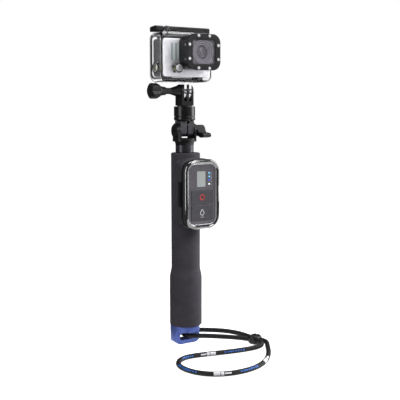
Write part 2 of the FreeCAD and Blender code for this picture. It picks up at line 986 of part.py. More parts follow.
prong_bore = rod(
    "case_front_prong_bore", "X", "thumb_bolt_radius + gap", "-10", "10", ("0", "0", "prong_height")
)
hinge_bore = rod("case_front_hinge_bore", "X", "1.2", "-40", "40", ("0", "hinge_y", "hinge_z"))
latch_bore = rod("case_front_latch_bore", "X", "0.9", "-60", "60", ("0", "latch_y", "latch_z"))
cut(
    "case_front",
    shell_solid,
    shell_inner,
    port_opening,
    port_seat,
    mode_bore,
    mode_well,
    side_bore,
    side_well,
    shutter_bore,
    prong_bore,
    hinge_bore,
    latch_bore,
)
rod("hinge_pin", "X", "1.2", "-28", "20", ("0", "hinge_y", "hinge_z"))
latch_pins = [
    rod("latch_pin_" + side, "X", "0.9", start, end, ("0", "latch_y", "latch_z"))
    for side, start, end in (("left", "-34", "-26.2"), ("right", "-20.6", "-12"))
]
fuse("latch_pin", *latch_pins)

door_plate = slab(
    "case_door_plate",
    "Y",
    (case_centre_x, case_centre_z + " + 0.6"),
    ("case_right - case_left - 1", "case_high - case_low - 2.2"),
    "case_corner - 0.6",
    "case_split + 0.1",
    "case_back",
    [("low", "1.2")],
)
door_pocket = slab(
    "case_door_pocket",
    "Y",
    (case_centre_x, case_centre_z + " + 0.6"),
    ("case_right - case_left - 8", "case_high - case_low - 9"),
    "case_corner - 3",
    "case_split - 1",
    "case_back - 1.6",
)
door_groove = slab(
    "case_door_groove",
    "Y",
    (case_centre_x, case_centre_z + " + 0.6"),
    ("case_right - case_left - 3.4", "case_high - case_low - 4.6"),
    "case_corner - 1.4",
    "case_split - 1",
    "case_split + 1",
)
door_knuckle = rod("case_door_knuckle", "X", "2.3", "-19.8", "11.8", ("0", "hinge_y", "hinge_z"))
door_web = block(
    "case_door_web",
    ("-19.8", "11.8"),
    ("case_split + 1.6", "case_back"),
    ("hinge_z", "case_low + 6"),
)
door_solid = fuse("case_door_solid", door_plate, door_knuckle, door_web)
door_bore = rod("case_door_bore", "X", "1.2 + gap", "-40", "40", ("0", "hinge_y", "hinge_z"))
door_relief = rod("case_door_relief", "X", "2.5", "-28.1", "-19.8", ("0", "hinge_y", "hinge_z"))
door_relief_right = rod(
    "case_door_relief_right",
    "X",
    "2.5",
    "11.8",
    "20.1",
    ("0", "hinge_y", "hinge_z"),
)
cut("case_door", door_solid, door_pocket, door_groove, door_bore, door_relief, door_relief_right)
seal_band = slab(
    "door_seal_band",
    "Y",
    (case_centre_x, case_centre_z + " + 0.6"),
    ("case_right - case_left - 3.4", "case_high - case_low - 4.6"),
    "case_corner - 1.4",
    "case_split + 0.15",
    "case_split + 1",
)
cut("door_seal", seal_band, door_pocket)

# ---- latch -------------------------------------------------------------------------------------

latch_bar = prism(
    "case_latch_bar",
    "X",
    [
        ("-1.8", "case_high + 0.2", "2.2"),
        ("13.4", "case_high + 0.7", "0.7"),
        ("13.4", "case_high + 6", "2"),
        ("2", "case_high + 7", "1.5"),
        ("-1.8", "case_high + 6.4", "1.5"),
    ],
    "-36.4",
    "32.4",
    [("low", "0.8"), ("high", "0.8")],
)
latch_gap = block(
    "case_latch_gap",
    ("-27.5", "-19.3"),
    ("-10", "4.9"),
    ("case_high - 5", "case_high + 10"),
)
latch_pin_bore = rod(
    "case_latch_pin_bore",
    "X",
    "0.9 + gap",
    "-34.1",
    "-11.9",
    ("0", "latch_y", "latch_z"),
)
latch_rib = slab("case_latch_rib", "Y", ("9", "case_high + 4"), ("38", "2.8"), "0.8", "-4", "-1.3")
cut("case_latch", latch_bar, latch_gap, latch_pin_bore, latch_rib)

# ---- buttons of the case -----------------------------------------------------------------------

turned(
    "shutter_button",
    "Z",
    [
        ("0", "camera_high + 1.2"),
        ("1.4", "camera_high + 1.2"),
        ("1.4", "case_high + 3"),
        ("2.4", "case_high + 3"),
        ("2.4", "case_high + 6.8", "0.6"),
        ("0", "case_high + 6.8"),
    ],
    ("-23.4", "-1.5", "0"),
)
turned(
    "mode_button",
    "Y",
    [
        ("0", "camera_front - 1.6"),
        ("0", "-20.8"),
        ("3.6", "-20.8", "0.7"),
        ("3.6", "-18.6"),
        ("1.6", "-18.6"),
        ("1.6", "camera_front - 1.6"),
    ],
    ("-17.9", "0", "312.6"),
)
turned(
    "side_button",
    "X",
    [
        ("0", "case_left - 1.9"),
        ("4.4", "case_left - 1.9", "0.5"),
        ("4.4", "case_left - 0.5"),
        ("1.6", "case_left - 0.5"),
        ("1.6", "camera_left - 1.5"),
        ("0", "camera_left - 1.5"),
    ],
    ("0", "-2.6", "313"),
)
coil("mode_spring", "Y", "2.9", "0.3", "1.5", "3", ("-17.9", "-17.3", "312.6"))

# ---- lens port ---------------------------------------------------------------------------------

port_centre = ("port_x", "port_z")
port_box = slab(
    "port_box_outer",
    "Y",
    port_centre,
    ("port_wide - 1.8", "port_tall - 1.8"),
    "port_corner - 0.9",
    "port_front + 3",
    "case_front",
)
port_tunnel = slab(
    "port_box_tunnel",
    "Y",
    port_centre,
    ("port_wide - 7", "port_tall - 7"),
    "port_corner - 3.5",
    "port_front + 5",
    "case_front + 5",
)
port_lip = slab(
    "port_box_lip",
    "Y",
    port_centre,
    ("port_glass_wide - 3", "port_glass_tall - 3"),
    "port_glass_corner - 1.5",
    "port_front",
    "port_front + 6",
)
screw_places = []
for a, b in (("18.2", "7.5"), ("18.2", "-7.5"), ("-18.2", "7.5"), ("-18.2", "-7.5")):
    screw_places.append(("port_x + " + a, "port_z + " + b))
for a, b in (("6.9", "17.2"), ("-6.9", "17.2"), ("6.9", "-17.2"), ("-6.9", "-17.2")):
    screw_places.append(("port_x + " + a, "port_z + " + b))
box_holes = [
    rod("port_box_hole_%d" % i, "Y", "0.8", "port_front + 2", "port_front + 11", (x, "0", z))
    for i, (x, z) in enumerate(screw_places, start=1)
]
cut("port_box", port_box, port_tunnel, port_lip, *box_holes)
port_plate = slab(
    "port_plate_outer",
    "Y",
    port_centre,
    ("port_wide", "port_tall"),
    "port_corner",
    "port_front",
    "port_front + 3",
    [("low", "0.8")],
)
port_window = slab(
    "port_plate_window",
    "Y",
    port_centre,
    ("port_glass_wide", "port_glass_tall"),
    "port_glass_corner",
    "port_front - 1",
    "port_front + 5",
)
port_scallops = [
    rod("port_plate_scallop_%d" % i, "Y", "1.75", "port_front - 1", "port_front + 1.2", (x, "0", z))
    for i, (x, z) in enumerate(screw_places, start=1)
]
plate_holes = [
    rod("port_plate_hole_%d" % i, "Y", "0.8", "port_front", "port_front + 4", (x, "0", z))
    for i, (x, z) in enumerate(screw_places, start=1)
]
cut("port_plate", port_plate, port_window, *port_scallops, *plate_holes)
slab(
    "port_glass",
    "Y",
    port_centre,
    ("port_glass_wide", "port_glass_tall"),
    "port_glass_corner",
    "port_front + 0.5",
    "port_front + 2.4",
)
seal_outer = slab(
    "port_seal_outer",
    "Y",
    port_centre,
    ("port_glass_wide", "port_glass_tall"),
    "port_glass_corner",
    "port_front + 2.4",
    "port_front + 3",
)
seal_hole = slab(
    "port_seal_hole",
    "Y",
    port_centre,
    ("port_glass_wide - 3", "port_glass_tall - 3"),
    "port_glass_corner - 1.5",
    "port_front",
    "port_front + 5",
)
cut("port_seal", seal_outer, seal_hole)
screws = [
    turned(
        "port_screw_%d" % i,
        "Y",
        [
            ("0", "port_front - 0.1"),
            ("1.65", "port_front - 0.1", "0.4"),
            ("1.65", "port_front + 1.2"),
            ("0.8", "port_front + 1.2"),
            ("0.8", "port_front + 10"),
            ("0", "port_front + 10"),
        ],
        (x, "0", z),
    )
    for i, (x, z) in enumerate(screw_places, start=1)
]
fuse("port_screws", *screws)

# ---- camera ------------------------------------------------------------------------------------

camera_middle = ("(camera_left + camera_right) / 2", "(camera_low + camera_high) / 2")
camera_solid = slab(
    "camera_body_solid",
    "Y",
    camera_middle,
    ("camera_right - camera_left", "camera_high - camera_low"),
    "3.5",
    "camera_front + 1.2",
    "camera_back",
    [("low", "1.5")],
)
battery_bay = block(
    "camera_body_bay",
    ("8", "camera_right - 2"),
    ("-4", "8"),
    ("camera_low + 3", "camera_high - 6"),
)
camera_feet = [
    block(
        "camera_body_foot_%d" % i,
        (x, x + " + 6"),
        ("camera_front + 4", "camera_back - 4"),
        ("case_low + case_wall", "camera_low + 1"),
    )
    for i, x in enumerate(("-26", "14"), start=1)
]
cut("camera_body", fuse("camera_body_full", camera_solid, *camera_feet), battery_bay)
block(
    "camera_battery",
    ("8.2", "camera_right - 2.2"),
    ("-3.8", "7.8"),
    ("camera_low + 3.2", "camera_high - 6.2"),
)
front_solid = slab(
    "camera_front_plate_solid",
    "Y",
    camera_middle,
    ("camera_right - camera_left", "camera_high - camera_low"),
    "3.5",
    "camera_front",
    "camera_front + 1.2",
    [("high", "0.6")],
)
window_pocket = slab(
    "camera_front_plate_window",
    "Y",
    ("-16.6", "330.4"),
    ("13.2", "18.4"),
    "1.2",
    "camera_front - 1",
    "camera_front + 0.6",
)
lens_hole = rod("camera_front_plate_lens", "Y", "12", "-20", "0", ("port_x", "0", "port_z"))
power_hole = rod("camera_front_plate_power", "Y", "4", "-20", "0", ("-17.9", "0", "312.6"))
cut("camera_front_plate", front_solid, window_pocket, lens_hole, power_hole)
slab(
    "camera_status_window",
    "Y",
    ("-16.6", "330.4"),
    ("13.2", "18.4"),
    "1.2",
    "camera_front - 0.2",
    "camera_front + 0.6",
)
rod(
    "camera_power_button",
    "Y",
    "4",
    "camera_front - 0.4",
    "camera_front + 1.2",
    ("-17.9", "0", "312.6"),
)
turned(
    "camera_lens_barrel",
    "Y",
    [
        ("9.2", "-27.5"),
        ("11.4", "-27.5", "0.8"),
        ("12", "camera_front - 6"),
        ("12", "camera_front + 1.2"),
        ("0", "camera_front + 1.2"),
        ("0", "-22"),
        ("5.5", "-22"),
    ],
    ("port_x", "0", "port_z"),
)
turned(
    "camera_lens_glass",
    "Y",
    [
        ("0", "-27.2"),
        ("4.5", "-26.4"),
        ("7.3", "-24.8"),
        ("5.5", "-22"),
        ("0", "-22"),
    ],
    ("port_x", "0", "port_z"),
)

# ---- remote and its cradle ---------------------------------------------------------------------

cradle_plan = prism(
    "cradle_plan",
    "Z",
    [
        ("-19.4", "remote_back", "1.5"),
        ("19.4", "remote_back", "1.5"),
        ("grip_slim + 0.9", "-4", "3"),
        ("-grip_slim - 0.9", "-4", "3"),
    ],
    "remote_z - 38.6",
    "remote_z + 38.6",
)
cradle_side = prism(
    "cradle_side",
    "X",
    [
        ("remote_back - 2", "remote_z - 38.6"),
        ("-4", "remote_z - 38.6", "13"),
        ("-4", "remote_z + 38.6", "13"),
        ("remote_back - 2", "remote_z + 38.6"),
    ],
    "-25",
    "25",
)
cradle_face = slab("cradle_face", "Y", ("0", "remote_z"), ("42", "77.2"), "13", "remote_back - 1", "0")
cradle_grip = rod("cradle_grip", "Z", "grip_slim", "100", "230", ("0", "grip_centre", "0"))
clip_recess = block(
    "cradle_clip_recess",
    ("-25", "-14.8"),
    ("remote_back - 1", "-17.7"),
    ("remote_z - 13.6", "remote_z + 13.6"),
)
cradle_shape = common("cradle_shape", cradle_plan, cradle_side, cradle_face)
clip_pin_hole = rod(
    "cradle_pin_hole",
    "Z",
    "0.8",
    "remote_z - 16",
    "remote_z + 16",
    ("-17", "-20", "0"),
)
cut("cradle", cradle_shape, cradle_grip, clip_recess, clip_pin_hole)
rod("clip_pin", "Z", "0.8", "remote_z - 16", "remote_z + 16", ("-17", "-20", "0"))
clip_solid = prism(
    "cradle_clip_solid",
    "Z",
    [
        ("-18.4", "-18.6", "1"),
        ("-15.6", "-18.6", "0.8"),
        ("-15.6", "-22.2", "0.8"),
        ("-18.6", "-24.6"),
        ("-20.6", "-27.4", "0.6"),
        ("-22.3", "-27", "0.6"),
        ("-22", "-22.4", "1.5"),
    ],
    "remote_z - 13.5",
    "remote_z + 13.5",
)
clip_bore = rod("cradle_clip_bore", "Z", "0.8 + gap", "100", "220", ("-17", "-20", "0"))
cut("cradle_clip", clip_solid, clip_bore)

remote_solid = slab(
    "remote_case_solid",
    "Y",
    ("0", "remote_z"),
    ("remote_wide - 3", "remote_tall - 3"),
    "remote_corner - 1.5",
    "face_front + 3",
    "remote_back",
    [("low", "2")],
)
remote_bay = block(
    "remote_case_bay",
    ("-14.4", "14.4"),
    ("face_front + 2", "-29.5"),
    ("remote_z - 29.6", "remote_z + 28"),
)
clip_clear = block(
    "remote_case_clip_clear",
    ("-24", "-19.6"),
    ("-28.2", "-20"),
    ("remote_z - 13.6", "remote_z + 13.6"),
)
cut("remote_case", remote_solid, remote_bay, clip_clear)
bezel_solid = slab(
    "remote_bezel_solid",
    "Y",
    ("0", "remote_z"),
    ("remote_wide", "remote_tall"),
    "remote_corner",
    "remote_front",
    "remote_rim",
    [("low", "1.2"), ("high", "2.8")],
)
bezel_seat = slab(
    "remote_bezel_seat",
    "Y",
    ("0", "remote_z"),
    ("remote_wide - 3", "remote_tall - 3"),
    "remote_corner - 1.5",
    "face_front + 3",
    "0",
)
bezel_open = slab(
    "remote_bezel_open",
    "Y",
    ("0", "remote_z"),
    ("face_wide", "face_tall"),
    "face_corner",
    "-50",
    "0",
)
cut("remote_bezel", bezel_solid, bezel_seat, bezel_open, clip_clear)
face_solid = slab(
    "remote_face_solid",
    "Y",
    ("0", "remote_z"),
    ("face_wide", "face_tall"),
    "face_corner",
    "face_front + 1",
    "face_front + 3",
)
screen_pocket = slab(
    "remote_face_screen", "Y", ("-0.9", "192.4"), ("10.9", "17"), "0.8", "-50", "face_front + 1.8"
)
light_heights = ("198.6", "194.8", "191", "186.6")
light_pockets = [
    rod("remote_face_light_%d" % i, "Y", "1.1", "-50", "face_front + 1.8", ("9.2", "0", z))
    for i, z in enumerate(light_heights, start=1)
]
key_openings = [
    slab("remote_face_%s_hole" % key, "Y", ("0", z), ("28.1", tall), "1.55", "-50", "0")
    for key, z, tall in (("record", "172.2", "16.1"), ("mode", "154.9", "17.1"))
]
cut("remote_face", face_solid, screen_pocket, *light_pockets, *key_openings)
slab(
    "remote_screen",
    "Y",
    ("-0.9", "192.4"),
    ("10.9", "17"),
    "0.8",
    "face_front + 1.1",
    "face_front + 1.8",
)
lights = [
    rod("remote_light_%d" % i, "Y", "1.1", "face_front + 0.9", "face_front + 1.8", ("9.2", "0", z))
    for i, z in enumerate(light_heights, start=1)
]
fuse("remote_lights", *lights)
for key, z, tall in (("record", "172.2", "16"), ("mode", "154.9", "17")):
    slab(
        "remote_%s_button" % key,
        "Y",
        ("0", z),
        ("28", tall),
        "1.5",
        "face_front + 0.6",
        "face_front + 3.4",
        [("high", "0.5")],
    )
block("remote_board", ("-13.6", "13.6"), ("-33.6", "-32.4"), ("remote_z - 27.5", "remote_z + 27.5"))
block("remote_battery", ("-11", "11"), ("-32.4", "-29.5"), ("remote_z - 16", "remote_z + 16"))

# ---- lanyard -----------------------------------------------------------------------------------

route = [
    vector(*[number("cord_%s_%d" % (axis, i)) for axis in "xyz"])
    for i in range(1, len(CORD_ROUTE) + 1)
]
edges = []
radii = []
here = route[0]
for before, corner, after in zip(route, route[1:], route[2:]):
    arriving = (corner - before).normalize()
    leaving = (after - corner).normalize()
    half_turn = arriving.getAngle(leaving) / 2
    reach = 0.45 * min(corner.distanceToPoint(before), corner.distanceToPoint(after))
    radius = reach / math.tan(half_turn)
    inward = (leaving - arriving).normalize()
    arc_start = corner - arriving * reach
    arc_end = corner + leaving * reach
    arc_middle = corner + inward * (radius / math.cos(half_turn) - radius)
    edges.append(Part.LineSegment(here, arc_start).toShape())
    edges.append(Part.Arc(arc_start, arc_middle, arc_end).toShape())
    radii.append(radius)
    here = arc_end
edges.append(Part.LineSegment(here, route[-1]).toShape())
cord_path = doc.addObject("Part::Feature", "lanyard_cord_path")
cord_path.Shape = Part.Wire(edges)
cord_section = doc.addObject("Part::Circle", "lanyard_cord_section")
drive(cord_section, Radius="cord_radius")
place(
    cord_section,
    ("cord_x_1", "cord_y_1", "cord_z_1"),
    FreeCAD.Rotation(vector(0, 0, 1), route[1] - route[0]),
)
lanyard = doc.addObject("Part::Sweep", "lanyard_cord")
lanyard.Sections = [cord_section]
lanyard.Spine = (cord_path, ["Edge%d" % i for i in range(1, len(edges) + 1)])
lanyard.Solid = True
lanyard.Frenet = False
doc.recompute()
print("lanyard radii", [round(r, 1) for r in radii])
print("lanyard length", round(cord_path.Shape.Length, 1))
straight_volume = math.pi * number("cord_radius") ** 2 * cord_path.Shape.Length
print("volume over section times length", lanyard.Shape.Volume / straight_volume)

slider_solid = slab(
    "lanyard_slider_solid",
    "Y",
    ("0", "0"),
    ("slider_wide", "slider_tall"),
    "4",
    "-slider_half",
    "slider_half",
    [("low", "1.8"), ("high", "1.8")],
)
slider_bores = [
    rod(
        "lanyard_slider_bore_" + side,
        "Y",
        "slider_bore",
        "-slider_half - 1",
        "slider_half + 1",
        (x, "0", "0"),
    )
    for side, x in (("left", "-slider_pitch / 2"), ("right", "slider_pitch / 2"))
]
slider = cut("lanyard_slider", slider_solid, *slider_bores)
place(slider, ("slider_x", "slider_y", "slider_z"), FreeCAD.Rotation(vector(0, 0, 1), 24.8))

# ---- checks and export -------------------------------------------------------------------------

NODES = """
handle_tube foam_grip end_cap handle_bush
mid_lock_sleeve mid_lock_spindle mid_tube mid_tube_bush
inner_lock_sleeve inner_lock_spindle inner_tube neck_ferrule
yoke tilt_bolt tilt_lever tongue_half_left tongue_half_right
swivel_post lock_ring friction_washer prong_adapter
thumb_bolt thumb_knob thumb_nut
case_front case_door door_seal hinge_pin case_latch latch_pin
shutter_button mode_button mode_spring side_button
port_box port_plate port_glass port_seal port_screws
camera_body camera_front_plate camera_status_window camera_power_button
camera_lens_barrel camera_lens_glass camera_battery
cradle clip_pin cradle_clip
remote_case remote_bezel remote_face remote_screen remote_lights
remote_record_button remote_mode_button remote_board remote_battery
lanyard_cord lanyard_slider
""".split()

doc.recompute()
shapes = {node: doc.getObjectsByLabel(node)[0].Shape for node in NODES}
failed = [item.Label for item in doc.Objects if "Invalid" in item.State or "Error" in item.State]
for item in doc.Objects:
    if hasattr(item, "Shape") and (item.Shape.isNull() or not item.Shape.isValid()):
        failed.append(item.Label + " (shape)")
if failed:
    raise RuntimeError("failed: " + ", ".join(failed))
for node, shape in shapes.items():
    shape.exportStep("parts/%s.step" % node)
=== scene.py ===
"""Looks for a telescopic camera pole: foam grip, remote in its cradle, tilting head, clear case
with an action camera, and a braided wrist lanyard on a blue end tab.

Everything is in metres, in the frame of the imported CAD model.
"""

import math

import bpy
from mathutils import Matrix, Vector, noise


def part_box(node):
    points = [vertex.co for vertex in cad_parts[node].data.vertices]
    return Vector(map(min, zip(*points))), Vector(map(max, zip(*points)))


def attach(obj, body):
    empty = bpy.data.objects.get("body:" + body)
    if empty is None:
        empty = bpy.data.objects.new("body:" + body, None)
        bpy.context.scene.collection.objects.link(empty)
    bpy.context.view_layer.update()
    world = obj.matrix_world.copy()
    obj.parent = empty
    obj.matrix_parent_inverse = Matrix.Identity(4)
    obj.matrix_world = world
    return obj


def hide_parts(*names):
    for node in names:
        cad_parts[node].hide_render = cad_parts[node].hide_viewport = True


MM = 0.001

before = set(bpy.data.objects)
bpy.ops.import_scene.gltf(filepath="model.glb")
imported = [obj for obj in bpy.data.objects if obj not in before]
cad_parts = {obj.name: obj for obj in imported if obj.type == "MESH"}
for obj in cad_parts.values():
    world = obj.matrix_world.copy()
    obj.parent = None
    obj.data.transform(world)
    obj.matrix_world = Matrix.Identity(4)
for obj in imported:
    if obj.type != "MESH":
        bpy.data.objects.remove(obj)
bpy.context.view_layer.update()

# ---- camera ------------------------------------------------------------------------------------

CAMERA_PLACE = Vector((-0.4516, -0.7555, 0.2705))
CAMERA_AIM = Vector((0.5262, 0.8421, -0.1184))
CAMERA_LENS = 70.2

camera_data = bpy.data.cameras.new("view")
camera_data.lens = CAMERA_LENS
camera_data.sensor_width = 36.0
camera_data.clip_start = 0.02
camera_data.clip_end = 20.0
camera = bpy.data.objects.new("view", camera_data)
camera.location = CAMERA_PLACE
camera.rotation_euler = CAMERA_AIM.to_track_quat("-Z", "Y").to_euler()
bpy.context.scene.collection.objects.link(camera)
bpy.context.scene.camera = camera


# ---- materials ---------------------------------------------------------------------------------


def tone(red, green, blue):
    """A colour given as 0 to 255 screen values, as linear light."""
    linear = []
    for value in (red, green, blue):
        share = value / 255.0
        linear.append(share / 12.92 if share <= 0.04045 else ((share + 0.055) / 1.055) ** 2.4)
    return (*linear, 1.0)


# Sockets of the Mix node in its colour form.
MIX_SHARE, MIX_ONE, MIX_TWO, MIX_RESULT = 0, 6, 7, 2


class Look:
    """A procedural material on one Principled shader, with short calls to add and join nodes."""

    def __init__(self, name):
        self.material = bpy.data.materials.new(name)
        self.material.use_nodes = True
        self.tree = self.material.node_tree
        self.shader = self.tree.nodes["Principled BSDF"]

    def node(self, kind, inputs=None, **settings):
        """Adds a shader node, sets or wires its inputs and sets its own settings."""
        made = self.tree.nodes.new("ShaderNode" + kind)
        for key, value in settings.items():
            setattr(made, key, value)
        for key, value in (inputs or {}).items():
            if isinstance(value, bpy.types.NodeSocket):
                self.tree.links.new(value, made.inputs[key])
            else:
                made.inputs[key].default_value = value
        return made

    def set(self, **inputs):
        """Sets or wires inputs of the shader; an underscore stands for a space."""
        for key, value in inputs.items():
            socket = self.shader.inputs[key.replace("_", " ")]
            if isinstance(value, bpy.types.NodeSocket):
                self.tree.links.new(value, socket)
            else:
                socket.default_value = value

    def place(self, stretch=(1.0, 1.0, 1.0)):
        """Coordinates fixed to the piece, in metres, stretched to draw a grain out."""
        coordinates = self.node("TexCoord").outputs["Object"]
        return self.node("Mapping", {"Vector": coordinates, "Scale": stretch}).outputs["Vector"]

    def noise(self, where, scale, detail=3.0):
        """Smooth noise with so many patches per metre."""
        return self.node(
            "TexNoise", {"Vector": where, "Scale": scale, "Detail": detail}
        ).outputs["Fac"]

    def remap(self, value, low, high, to_low=0.0, to_high=1.0):
        """A value's range from low to high, stretched to another range and held within it."""
        return self.node(
            "MapRange",
            {
                "Value": value,
                "From Min": low,
                "From Max": high,
                "To Min": to_low,
                "To Max": to_high,
            },
        ).outputs["Result"]

    def blend(self, share, one, two):
        """A colour that goes from one to two with the share."""
        mix = self.node("Mix", {MIX_SHARE: share, MIX_ONE: one, MIX_TWO: two}, data_type="RGBA")
        return mix.outputs[MIX_RESULT]


COAT_ROUGHNESS = 0.06
BEVEL_SAMPLES = 4
GRAIN_DETAIL = 5.0

# The part of a noise's range that counts, how far a rounded edge leans where fully lightened,
# and the patches in which edges lighten: partly wear, partly a painted highlight.
NOISE_RANGE = (0.35, 0.65)
WEAR_AND_HIGHLIGHT_LEAN = 0.86
WEAR_AND_HIGHLIGHT_PATCHES = (0.42, 0.6)


def finish(
    name,
    colour,
    shade=None,
    rough=(0.35, 0.45),
    metallic=0.0,
    mottle=250.0,
    grain=3500.0,
    depth=0.01,
    stretch=(1.0, 1.0, 1.0),
    edge=0.25,
    edge_wear_and_highlight=None,
    coat=0.0,
    clear=0.0,
    ior=1.5,
    shine=0.5,
):
    """A moulded, turned or coated surface.

    colour drifts to shade in patches and to a lighter colour along edges, partly wear and partly
    a painted highlight; rough is the roughness of the grain's low and high spots and shine how
    strongly it reflects; depth and edge are the grain's height and the edges' rounding in
    millimetres; mottle and grain are how fine the patches and the grain are, per metre.
    """
    look = Look(name)
    where = look.place(stretch)
    patches = look.noise(where, mottle)
    fine = look.noise(where, grain, GRAIN_DETAIL)
    base = look.blend(look.remap(patches, *NOISE_RANGE), colour, shade or colour)
    rounded = look.node(
        "Bevel", {"Radius": edge * MM}, samples=BEVEL_SAMPLES
    ).outputs["Normal"]
    # Edges lighten in patches to the edge colour: partly wear, partly a painted highlight.
    if edge_wear_and_highlight is not None:
        flat = look.node("NewGeometry").outputs["Normal"]
        lean = look.node(
            "VectorMath", {0: rounded, 1: flat}, operation="DOT_PRODUCT"
        ).outputs["Value"]
        wear_and_highlight_share = look.node(
            "Math",
            {0: look.remap(lean, 1.0, WEAR_AND_HIGHLIGHT_LEAN), 1: look.remap(patches, *WEAR_AND_HIGHLIGHT_PATCHES)},
            operation="MULTIPLY",
        ).outputs["Value"]
        base = look.blend(wear_and_highlight_share, base, edge_wear_and_highlight)
    bump = look.node(
        "Bump", {"Height": fine, "Distance": depth * MM, "Strength": 1.0, "Normal": rounded}
    ).outputs["Normal"]
    look.set(
        Metallic=metallic,
        IOR=ior,
        Coat_Weight=coat,
        Coat_Roughness=COAT_ROUGHNESS,
        Transmission_Weight=clear,
        Specular_IOR_Level=shine,
    )
    look.set(Base_Color=base, Roughness=look.remap(fine, *NOISE_RANGE, *rough), Normal=bump)
    return look
